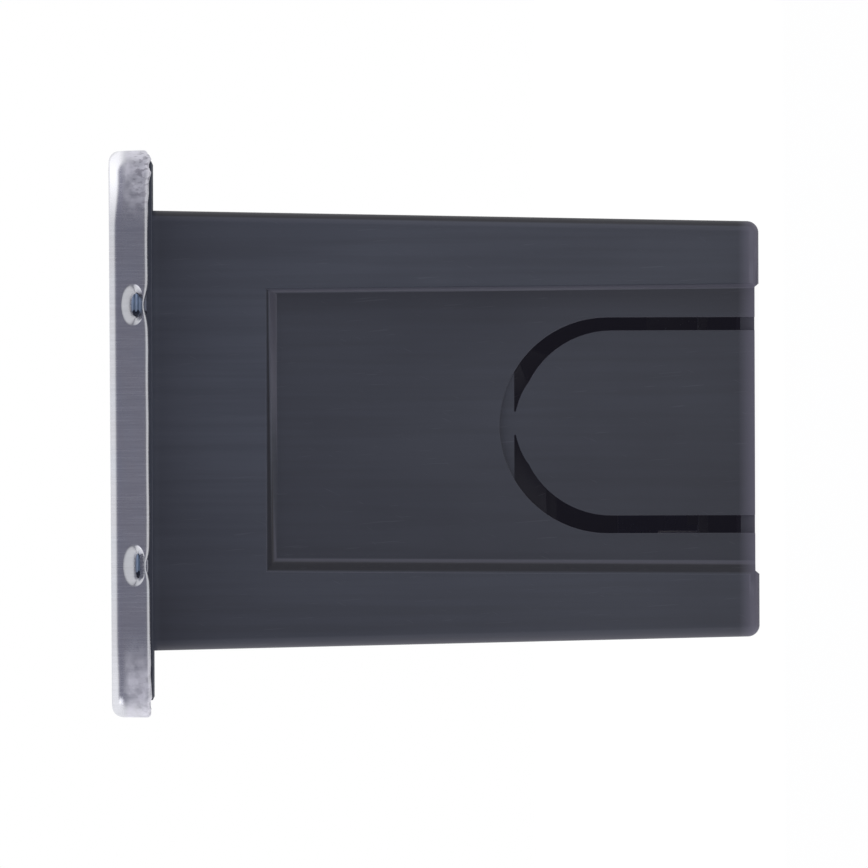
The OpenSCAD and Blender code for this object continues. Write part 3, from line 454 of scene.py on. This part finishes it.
def metal(name, colour, size, roughness, detail_depth, stain=(0.3, 0.3, 0.3)):
    """A plain metal: fine lines or grain of the given size, stains and faint scratches."""
    f = Finish(name, metallic=1.0)
    lines = f.noise(size, 3.0)
    cloud = f.noise(5 * MM, 3.0, 4.0)
    marks = f.streaks((0.12 * MM, 3 * MM, 3 * MM), 0.3, 2.0, 15)
    tone = f.mix(f.span(lines, 0.3, 0.7), rgba(colour, 0.86), rgba(colour, 1.1))
    tone = f.mix(f.span(cloud, 0.5, 0.8, 0.0, 0.35), tone, rgba(stain))
    tone = f.mix(f.times(marks, 0.5), tone, rgba(colour, 1.35))
    rough = f.math("ADD", f.span(cloud, 0.3, 0.7, roughness - 0.05, roughness + 0.08),
                   f.span(lines, 0.3, 0.7, -0.04, 0.04))
    f.bump(lines, detail_depth)
    return f.done(tone, rough)


def plastic(name, colour, roughness, grain, depth, specular=0.5):
    """A plain moulding: fine grain, slight unevenness of colour, and dust."""
    f = Finish(name, specular=specular)
    fine = f.noise(grain)
    cloud = f.noise(7 * MM, 2.0, 3.0)
    dust = f.span(f.noise(0.5 * MM, 3.0, 8.0), 0.68, 0.78, 0.0, 0.25)
    tone = f.mix(f.span(cloud, 0.3, 0.7), rgba(colour, 0.9), rgba(colour, 1.08))
    tone = f.mix(dust, tone, rgba((0.5, 0.5, 0.5)))
    rough = f.math("ADD", f.span(cloud, 0.3, 0.7, roughness - 0.04, roughness + 0.06),
                   f.span(fine, 0.3, 0.7, -0.03, 0.03))
    f.bump(fine, depth)
    return f.done(tone, rough)


def passivated_steel():
    """Black-passivated sheet: rolled lines, cloudy sheen and fine rubs."""
    f = Finish("black_steel", specular=0.4)
    colour = BASE_COLOUR["black_steel"]
    lines = f.noise((5 * MM, 5 * MM, 0.12 * MM), 3.0)
    cloud = f.noise(6 * MM, 3.0, 4.0)
    rubs = f.streaks((0.15 * MM, 0.15 * MM, 4 * MM), 0.29, 2.0, 20)
    tone = f.mix(f.span(cloud, 0.3, 0.7), rgba(colour, 0.7), rgba(colour, 1.5))
    tone = f.mix(f.times(rubs, 0.2), tone, (0.2, 0.2, 0.22, 1))
    f.bump(lines, 0.006 * MM)
    rough = f.math("ADD", f.span(cloud, 0.3, 0.7, 0.4, 0.52), f.span(lines, 0.3, 0.7, -0.04, 0.04))
    return f.done(tone, rough)


def solder_mask():
    """Green solder mask over glass weave: tracks that show through it, tinned pads, dark cut edges."""
    f = Finish("board", specular=0.6)
    green = BASE_COLOUR["board"]
    weave = f.times(f.noise((0.35 * MM, 4 * MM, 4 * MM), 1.0),
                    f.noise((4 * MM, 0.35 * MM, 4 * MM), 1.0, 2.0))
    steps = f.noise(3 * MM, 0.0, 6.0)
    tracks = f.span(f.math("PINGPONG", f.times(steps, 9.0), 0.5), 0.3, 0.34)
    cells = f.tree.nodes.new("ShaderNodeTexVoronoi")
    cells.inputs["Scale"].default_value = 1 / (2.54 * MM)
    cells.inputs["Randomness"].default_value = 0.25
    put(f.tree, cells.inputs["Vector"], f.place)
    pads = f.times(f.span(cells.outputs["Distance"], 0.2, 0.17), f.span(steps, 0.5, 0.52))
    tone = f.mix(f.times(tracks, 0.55), rgba(green), rgba(green, 2.2))
    tone = f.mix(f.span(weave, 0.2, 0.32, 0.0, 0.12), tone, rgba(green, 3.0))
    tone = f.mix(pads, tone, rgba((0.72, 0.72, 0.7)))
    upright = f.math("ABSOLUTE", f.axis("Z", f.facing))
    tone = f.mix(f.span(upright, 0.6, 0.3), tone, (0.004, 0.004, 0.005, 1))
    rough = f.math("MAXIMUM", f.span(weave, 0.15, 0.35, 0.22, 0.34), f.span(upright, 0.6, 0.3, 0.0, 0.9))
    f.bump(f.math("ADD", tracks, pads), 0.03 * MM)
    return f.done(tone, rough)


def make_materials():
    """One material for each slot of the record."""
    c = BASE_COLOUR
    return {
        "black_moulded": moulded_black(),
        "stainless": metal("stainless", c["stainless"], (6 * MM, 0.12 * MM, 6 * MM), 0.28, 0.01 * MM),
        "zinc": metal("zinc", c["zinc"], 0.5 * MM, 0.34, 0.01 * MM, (0.5, 0.52, 0.45)),
        "steel": metal("steel", c["steel"], (0.1 * MM, 4 * MM, 0.1 * MM), 0.3, 0.006 * MM),
        "black_steel": passivated_steel(),
        "brass": metal("brass", c["brass"], (0.12 * MM, 3 * MM, 0.12 * MM), 0.27, 0.008 * MM,
                       (0.5, 0.3, 0.12)),
        "acetal": plastic("acetal", c["acetal"], 0.42, 0.3 * MM, 0.008 * MM),
        "board": solder_mask(),
        "dark_plastic": plastic("dark_plastic", c["dark_plastic"], 0.5, 0.15 * MM, 0.01 * MM, 0.4),
        "capacitor_sleeve": plastic("capacitor_sleeve", c["capacitor_sleeve"], 0.24, 1.2 * MM, 0.01 * MM),
        "terminal_green": plastic("terminal_green", c["terminal_green"], 0.36, 0.25 * MM, 0.008 * MM),
        "ivory_plastic": plastic("ivory_plastic", c["ivory_plastic"], 0.4, 0.25 * MM, 0.008 * MM),
    }


# ---- Mesh helpers ----

def dress(obj, material):
    obj.data.materials.clear()
    obj.data.materials.append(material)


def add_piece(name, mesh, nodes, material):
    """A new piece that stands for those CAD nodes and rides on their body."""
    obj = bpy.data.objects.new(name, mesh)
    bpy.context.scene.collection.objects.link(obj)
    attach(obj, BODY_OF[nodes[0]])
    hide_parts(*nodes)
    dress(obj, material)
    return obj


def smooth(mesh, angle=32):
    mesh.polygons.foreach_set("use_smooth", [True] * len(mesh.polygons))
    mesh.set_sharp_from_angle(angle=math.radians(angle))


def weigh_normals(obj):
    modifier = obj.modifiers.new("normals", "WEIGHTED_NORMAL")
    modifier.keep_sharp = True
    modifier.weight = 80


def joined_copy(node):
    """The node's mesh as a bmesh, with its faces joined and flat ones merged."""
    bm = bmesh.new()
    bm.from_mesh(NODES[node].data)
    bmesh.ops.remove_doubles(bm, verts=bm.verts, dist=1e-6)
    bmesh.ops.dissolve_limit(bm, angle_limit=0.004, verts=bm.verts, edges=bm.edges)
    bm.normal_update()
    return bm


def round_edges(bm, width, segments, wanted, least=24):
    """Rounds the edges sharper than `least` degrees for which wanted(middle, degrees, convex) holds.

    Edges that meet a very short one are left out, as it would squeeze the width of all the others.
    """
    edges = []
    for edge in bm.edges:
        if len(edge.link_faces) != 2:
            continue
        degrees = math.degrees(edge.calc_face_angle())
        middle = (edge.verts[0].co + edge.verts[1].co) / 2
        shortest = min(e.calc_length() for v in edge.verts for e in v.link_edges)
        if degrees > least and shortest > 1.3 * width and wanted(middle, degrees, edge.is_convex):
            edges.append(edge)
    bmesh.ops.bevel(bm, geom=edges, offset=width, offset_type="OFFSET", segments=segments, profile=0.5,
                    affect="EDGES", clamp_overlap=True)
    bm.normal_update()


def to_mesh(bm, name):
    mesh = bpy.data.meshes.new(name)
    bm.to_mesh(mesh)
    bm.free()
    smooth(mesh)
    return mesh


# ---- Housing ----

def build_housing(material):
    """The moulded tub with soft channel lips and channel feet, and small rounds on its outer edges."""
    inner_face = 33 * MM
    lip_face = 36 * MM
    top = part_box("face_cap")[0].z - 7 * MM
    bm = joined_copy("housing")

    def lips(middle, degrees, convex):
        return convex and 40 < degrees < 70 and abs(middle.y) > lip_face and middle.z < top

    def channel_foot(middle, degrees, convex):
        on_side = abs(middle.y) > inner_face and 1 * MM < middle.z < top
        return not convex and 40 < degrees < 80 and on_side

    def outside(middle, degrees, convex):
        margin = 0.6 * MM if middle.y < 0 else 1.5 * MM
        shown = max(abs(middle.x), abs(middle.y)) > inner_face + margin
        return convex and degrees > 60 and (shown or middle.z < 1.2 * MM)

    round_edges(bm, 0.7 * MM, 4, lips)
    round_edges(bm, 0.8 * MM, 3, channel_foot)
    round_edges(bm, 0.3 * MM, 3, outside)
    obj = add_piece("housing_shell", to_mesh(bm, "housing_shell"), ["housing"], material)
    weigh_normals(obj)


# ---- Face cap ----

SHEET = 1.0 * MM
OPENING_R = 29 * MM
CAP_CORNER = 4 * MM
CAP_REAR = 0.7 * MM  # radius of the turned rear edge
SIDE_BEND, CORNER_BEND = 1.8 * MM, 3.0 * MM  # radii of the front bend
FLARE = 0.1 * MM  # how far the skirt leans out towards its rear edge
CAP_SHIFT, CAP_TILT = -0.57 * MM, math.radians(-0.2)
DIMPLE_RISE = 2.2 * MM
DIMPLE_SHIFT = -0.28 * MM
DIMPLE_DEPTH = 1.05 * MM
# Ovals round a dimple's middle: half length, half height, and how far above the middle they sit.
RIM = (3.75 * MM, 2.05 * MM, 0.52 * MM)
HOLE = (2.05 * MM, 0.84 * MM, 0.0)
SLIT = (2.1 * MM, 0.42 * MM, -0.03 * MM)
# The patch of the skirt that a dimple takes up.
PATCH_HALF = 5 * MM
PATCH_HALF_HEIGHT = 2.4 * MM
PATCH_STEPS = 24
CORNER_STEPS = 10
# Rows of the sheet's profile: the flat of the skirt, and those behind it on the outside and the inside.
SKIRT_ROWS = 14
REAR_ROWS, INNER_REAR_ROWS = 5, 2


def cap_stations(half, dimple_x):
    """Points round the square: (side, distance along the side from its middle, or corner angle)."""
    straight = half - CAP_CORNER
    edges = [-straight, -dimple_x - PATCH_HALF, -dimple_x + PATCH_HALF,
             dimple_x - PATCH_HALF, dimple_x + PATCH_HALF, straight]
    counts = [10, PATCH_STEPS, 22, PATCH_STEPS, 10]
    along = []
    for start, end, count in zip(edges, edges[1:], counts):
        along += [start + (end - start) * i / count for i in range(count)]
    stations = []
    for side in range(4):
        stations += [(side, s, 0.0) for s in along]
        stations += [(side, straight, 90 * i / CORNER_STEPS) for i in range(CORNER_STEPS)]
    return stations


def cap_point(station, half, inset, z):
    """Place of a station on the ring that lies `inset` inside the cap's outline, at height z."""
    side, s, turn = station
    normal = math.radians(-90 + 90 * side)
    along = normal + math.pi / 2
    straight = half - CAP_CORNER
    bulge = CAP_CORNER - inset
    at = normal + math.radians(turn)
    x = s * math.cos(along) + straight * math.cos(normal) + bulge * math.cos(at)
    y = s * math.sin(along) + straight * math.sin(normal) + bulge * math.sin(at)
    return Vector((x, y, z))


def dimple_patch(bm, border, centre, hole_shape):
    """Fills the border loop with a conical dimple, and returns the ring round its pierced hole."""
    angles = [math.atan2((v.co.z - centre.z) / PATCH_HALF_HEIGHT, (v.co.x - centre.x) / PATCH_HALF)
              for v in border]

    def oval(shape):
        half_length, half_height, rise = shape
        return [(centre.x + half_length * math.cos(a), centre.z + rise + half_height * math.sin(a))
                for a in angles]

    rim, hole = oval(RIM), oval(hole_shape)
    inward = -1 if centre.y > 0 else 1
    rings = [border]
    for t in (0.5, 0.9, 1.0):
        rings.append([bm.verts.new((v.co.x + (x - v.co.x) * t, centre.y, v.co.z + (z - v.co.z) * t))
                      for v, (x, z) in zip(border, rim)])
    cone_steps = 6
    for i in range(1, cone_steps + 1):
        t = i / cone_steps
        y = centre.y + inward * DIMPLE_DEPTH * (t - 0.06 * math.sin(math.pi * t))
        rings.append([bm.verts.new((a + (c - a) * t, y, b + (d - b) * t))
                      for (a, b), (c, d) in zip(rim, hole)])
    for level, (outer, inner) in enumerate(zip(rings, rings[1:])):
        for i in range(len(outer)):
            j = (i + 1) % len(outer)
            bm.faces.new((outer[i], outer[j], inner[j], inner[i])).material_index = int(level > 1)
    return rings[-1]


def torn_lip(bm, centre):
    """The ridged, D-shaped end of a thread that fills the rear half of the lower dimples."""
    outward = 1 if centre.y > 0 else -1
    half_length, height, columns, rows = 2.05 * MM, 1.55 * MM, 14, 12
    top = centre.z - 0.4 * MM
    crest, valley, back = centre.y - outward * 0.03 * MM, 0.42 * MM, centre.y - outward * 0.7 * MM
    front_rows, back_rows = [], []
    for r in range(rows + 1):
        drop = r / rows
        reach = half_length * math.sqrt(max(0.0, 1 - (0.96 * drop) ** 2))
        ridge = abs((drop * 2) % 1 - 0.5) * 2 if 0 < r < rows else 0.0
        y = crest - outward * valley * (1 - ridge)
        xs = [centre.x + reach * (2 * c / columns - 1) for c in range(columns + 1)]
        z = top - height * drop
        front_rows.append([bm.verts.new((x, y, z)) for x in xs])
        back_rows.append([bm.verts.new((x, back, z)) for x in xs])
    for sheet in (front_rows, back_rows):
        for upper, lower in zip(sheet, sheet[1:]):
            for c in range(columns):
                bm.faces.new((upper[c], upper[c + 1], lower[c + 1], lower[c])).material_index = 1
    rim = [(r, 0) for r in range(rows)] + [(rows, c) for c in range(columns)]
    rim += [(r, columns) for r in range(rows, 0, -1)] + [(0, c) for c in range(columns, 0, -1)]
    for (r, c), (r2, c2) in zip(rim, rim[1:] + rim[:1]):
        edge = (front_rows[r][c], front_rows[r2][c2], back_rows[r2][c2], back_rows[r][c])
        bm.faces.new(edge).material_index = 1


def skirt_profiles(low_z, high_z, bend):
    """(inset, height) along the outside and the inside of the sheet, for a bend of that radius."""
    flat_low, flat_high = low_z + CAP_REAR, high_z - bend
    rows = [flat_low + (flat_high - flat_low) * i / SKIRT_ROWS for i in range(SKIRT_ROWS + 1)]
    turns = [math.radians(90 * i / REAR_ROWS) for i in range(REAR_ROWS)]
    outer = [(CAP_REAR * (1 - math.sin(a)), low_z + CAP_REAR * (1 - math.cos(a))) for a in turns]
    outer += [(0.0, z) for z in rows]
    turns = [math.radians(90 * i / 8) for i in range(1, 9)]
    outer += [(bend * (1 - math.cos(a)), flat_high + bend * math.sin(a)) for a in turns]
    inner = [(0.85 * MM, low_z), (SHEET, low_z + 0.15 * MM)] + [(SHEET, z) for z in rows]
    small = bend - SHEET
    turns = [math.radians(90 * i / 4) for i in range(1, 5)]
    inner += [(SHEET + small * (1 - math.cos(a)), flat_high + small * math.sin(a)) for a in turns]
    return outer, inner


def at_corner(station, half):
    """0 along a side, and round a corner 1 towards +X and 0.3 towards -X."""
    _, s, turn = station
    share = 1.0 if turn else min(1.0, max(0.0, (abs(s) - (half - 14 * MM)) / (9 * MM)))
    most = 0.3 if cap_point(station, half, 0.0, 0.0).x < 0 else 1.0
    return share * share * (3 - 2 * share) * most


def build_cap(material, ground):
    """Drawn sheet cap: rolled bend, turned rear edge, pierced dimples, puckered corners, round opening."""
    low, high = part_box("face_cap")
    half = high.x
    dimple_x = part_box("cap_studs")[1].x - STUD_R
    dimple_z = low.z + DIMPLE_RISE
    stations = cap_stations(half, dimple_x)
    count = len(stations)
    in_patch = {i for i, (side, s, turn) in enumerate(stations)
                if side % 2 == 0 and turn == 0.0 and abs(abs(s) - dimple_x) < PATCH_HALF - 0.01 * MM}
    bm = bmesh.new()

    def skin(straight, corner, first, inset):
        """The ring rows of one side of the sheet with a dimple in each of its four gaps."""
        last = first + SKIRT_ROWS
        rows = []
        for r, (along, round_it) in enumerate(zip(straight, corner)):
            rows.append([])
            for i, station in enumerate(stations):
                share = at_corner(station, half)
                off, z = (a + (b - a) * share for a, b in zip(along, round_it))
                left_out = first < r < last and i in in_patch
                rows[-1].append(None if left_out else bm.verts.new(cap_point(station, half, off, z)))
        for r in range(len(rows) - 1):
            for i in range(count):
                j = (i + 1) % count
                if not (first <= r < last and (i in in_patch or j in in_patch)):
                    bm.faces.new((rows[r][i], rows[r][j], rows[r + 1][j], rows[r + 1][i]))
        holes = []
        for left, (side, s, turn) in enumerate(stations):
            middle = s + PATCH_HALF
            if side % 2 or turn or abs(abs(middle) - dimple_x) > 1e-9:
                continue
            right = left + PATCH_STEPS
            loop = [rows[first][i] for i in range(left, right)]
            loop += [rows[r][right] for r in range(first, last)]
            loop += [rows[last][i] for i in range(right, left, -1)]
            loop += [rows[r][left] for r in range(last, first, -1)]
            outward = 1 if side == 2 else -1
            centre = Vector((-outward * middle + DIMPLE_SHIFT, outward * (half - inset), dimple_z))
            holes.append((dimple_patch(bm, loop, centre, HOLE if middle > 0 else SLIT), centre, middle))
        return rows, holes

    outer, inner = skirt_profiles(low.z, high.z, SIDE_BEND)
    outer_round, inner_round = skirt_profiles(low.z, high.z, CORNER_BEND)
    outside_rows, outside_holes = skin(outer, outer_round, REAR_ROWS, 0.0)
    inside_rows, inside_holes = skin(inner, inner_round, INNER_REAR_ROWS, SHEET)

    def bridge(one, other, index=0):
        for i in range(len(one)):
            j = (i + 1) % len(one)
            bm.faces.new((one[i], one[j], other[j], other[i])).material_index = index

    bridge(inside_rows[0], outside_rows[0])
    for (out_ring, _, _), (in_ring, _, _) in zip(outside_holes, inside_holes):
        bridge(out_ring, in_ring, 1)

    def to_opening(ring, steps):
        for radius, z in steps:
            angles = [math.atan2(v.co.y, v.co.x) for v in ring]
            inward = [bm.verts.new((radius * math.cos(a), radius * math.sin(a), z)) for a in angles]
            bridge(ring, inward)
            ring = inward
        return ring

    lip, apron = 0.3 * MM, OPENING_R + 3 * MM
    top = to_opening(outside_rows[-1], [
        (apron, high.z),
        (OPENING_R + lip, high.z),
        (OPENING_R + lip * 0.3, high.z - lip * 0.3),
        (OPENING_R, high.z - lip),
    ])
    under = to_opening(inside_rows[-1], [(apron, high.z - SHEET), (OPENING_R, high.z - SHEET)])
    bridge(top, under)
    for vertex in bm.verts:
        shape_sheet(vertex.co, low, high, half, dimple_x)
    for _, centre, middle in outside_holes:
        if middle < 0:
            torn_lip(bm, centre)
    to_rear = Matrix.Translation((0, 0, -low.z))
    place = Matrix.Translation((CAP_SHIFT, 0, low.z)) @ Matrix.Rotation(CAP_TILT, 4, "Y") @ to_rear
    bm.transform(place)
    bmesh.ops.recalc_face_normals(bm, faces=bm.faces)
    mesh = to_mesh(bm, "face_cap_sheet")
    smooth(mesh, 50)
    obj = add_piece("face_cap_sheet", mesh, ["face_cap"], material)
    # The second material, ground steel with a painted glow, lines the dimples.
    obj.data.materials.append(ground)
    weigh_normals(obj)


def shape_sheet(co, low, high, half, dimple_x):
    """Leans the skirt, and at its rear edge adds the bows behind the dimples and the puckered corners."""
    if max(abs(co.x), abs(co.y)) < half - 3 * MM:
        return
    rise = (co.z - low.z) / (high.z - low.z)
    rear = max(0.0, 1 - (co.z - low.z) / (1.4 * MM))
    if abs(co.y) > half - 2.5 * MM:
        width, bow = (2.4 * MM, 0.75 * MM) if co.x * co.y < 0 else (1.8 * MM, 0.6 * MM)
        from_dimple = abs(co.x - DIMPLE_SHIFT) - dimple_x
        co.z += bow * math.exp(-(from_dimple / width) ** 2) * rear
    along = min(abs(co.x), abs(co.y))
    corner = min(1.0, max(0.0, (along - (half - 9 * MM)) / (3 * MM)))
    fold = math.sin(2 * math.pi * along / (2.6 * MM) + 3 * noise.noise(co * 90))
    puckered = corner if co.y < -half + 2.5 * MM else 0.0
    dip, dented = (0.45 * MM * puckered, 1.0) if co.x > 0 else (0.0, 0.4)
    lift = 0.35 * MM * (co.y + half) / (2 * half)
    waves = 0.24 * MM * fold * puckered + 0.05 * MM * noise.noise(co * 180)
    co.z += (waves - dip + lift) * rear
    dent = abs(noise.noise(co * 260 + Vector((7, 1, 3)))) * 0.22 * MM + 0.14 * MM * (1 + fold)
    sunk = corner * max(0.0, 1 - rise * 1.5) * dent * dented
    co.x *= 1 - FLARE * rise / half
    co.y *= 1 - (FLARE * rise + sunk) / half


# ---- Studs, nest and the pieces that keep their CAD mesh ----

def build_studs(material):
    """M4 weld studs with real threads, each a grid whose radius follows the thread."""
    low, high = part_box("cap_studs")
    major, minor, pitch = STUD_R, STUD_R * 0.8, THREAD_PITCH
    centres = [(sx * (high.x - major), sy * (high.y - major)) for sx in (-1, 1) for sy in (-1, 1)]
    columns = 32
    rows = int((high.z - low.z) / (pitch / 8))
    bm = bmesh.new()
    for cx, cy in centres:
        grid = []
        for r in range(rows + 1):
            z = low.z + (high.z - low.z) * r / rows
            ring = []
            for c in range(columns):
                phase = (z / pitch - c / columns) % 1
                radius = minor + (major - minor) * min(1.0, 2.4 * min(phase, 1 - phase))
                if z - low.z < major - minor:
                    radius = min(radius, minor + (z - low.z))
                a = 2 * math.pi * c / columns
                ring.append(bm.verts.new((cx + radius * math.cos(a), cy + radius * math.sin(a), z)))
            grid.append(ring)
        for lower, upper in zip(grid, grid[1:]):
            for i in range(columns):
                j = (i + 1) % columns
                bm.faces.new((lower[i], lower[j], upper[j], upper[i]))
        bm.faces.new(grid[0][::-1])
        bm.faces.new(grid[-1])
    add_piece("stud_threads", to_mesh(bm, "stud_threads"), ["cap_studs"], material)


def build_nest(material):
    """The deck and its round nest with a soft mouth and slightly rounded edges."""
    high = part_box("nest_deck")[1]
    bm = joined_copy("nest_deck")

    def mouth(middle, degrees, convex):
        return middle.z > high.z - 0.5 * MM

    def rest(middle, degrees, convex):
        return degrees > 50

    round_edges(bm, 0.5 * MM, 3, mouth, 15)
    round_edges(bm, 0.2 * MM, 2, rest)
    obj = add_piece("nest_shell", to_mesh(bm, "nest_shell"), ["nest_deck"], material)
    weigh_normals(obj)


def soften(node, width):
    """Rounds the sharp edges of a CAD node that keeps its own mesh."""
    obj = NODES[node]
    weld = obj.modifiers.new("weld", "WELD")
    weld.merge_threshold = 1e-6
    flat = obj.modifiers.new("flat", "DECIMATE")
    flat.decimate_type = "DISSOLVE"
    flat.angle_limit = math.radians(0.3)
    bevel = obj.modifiers.new("edges", "BEVEL")
    bevel.width = width
    bevel.segments = 2
    bevel.limit_method = "ANGLE"
    bevel.angle_limit = math.radians(35)
    smooth(obj.data, 35)
    weigh_normals(obj)


# Widths of the rounded edges in millimetres.
EDGE_WIDTH = {
    "cap_nuts": 0.25, "deck_screws": 0.2, "chassis": 0.2, "chassis_screws": 0.2, "gear_plate": 0.2,
    "gear_standoffs": 0.15, "gear_plate_screws": 0.2, "shaft_bushings": 0.15, "hub_shaft": 0.2,
    "shaft_clips": 0.1, "probe_hub": 0.3, "probe": 0.3, "probe_pin": 0.1, "sector_gear": 0.1,
    "sector_screws": 0.1, "idler_gear": 0.1, "idler_axle": 0.2, "idler_clip": 0.1, "pinion": 0.1,
    "motor_shaft": 0.2, "gearbox": 0.3, "motor_can": 0.5, "motor_end_cap": 0.25, "motor_terminals": 0.1,
    "motor_screws": 0.15, "plunger": 0.15, "plunger_clip": 0.1, "tag_sensor": 0.2, "home_sensor": 0.2,
    "end_sensor": 0.2, "circuit_board": 0.1, "board_screws": 0.2, "board_capacitors": 0.3,
    "board_chips": 0.15, "board_connectors": 0.12, "terminal_block": 0.2, "terminal_screws": 0.12,
    "power_jack": 0.15, "jack_pin": 0.2, "jack_nut": 0.25,
}


add_camera()
add_floor()
add_studio()
add_softbox("key", place=(-0.9, -1.2, 0.9), size=0.9, power=2.5)

MATERIALS = make_materials()
for node, obj in NODES.items():
    dress(obj, MATERIALS[SLOT_OF[node]])
    if node in EDGE_WIDTH:
        soften(node, EDGE_WIDTH[node] * MM)
build_housing(MATERIALS["black_moulded"])
build_cap(brushed_cap(), ground_steel_painted_glow())
build_studs(stud_zinc_painted_glow())
build_nest(MATERIALS["black_moulded"])

bpy.context.scene.view_settings.view_transform = "Standard"
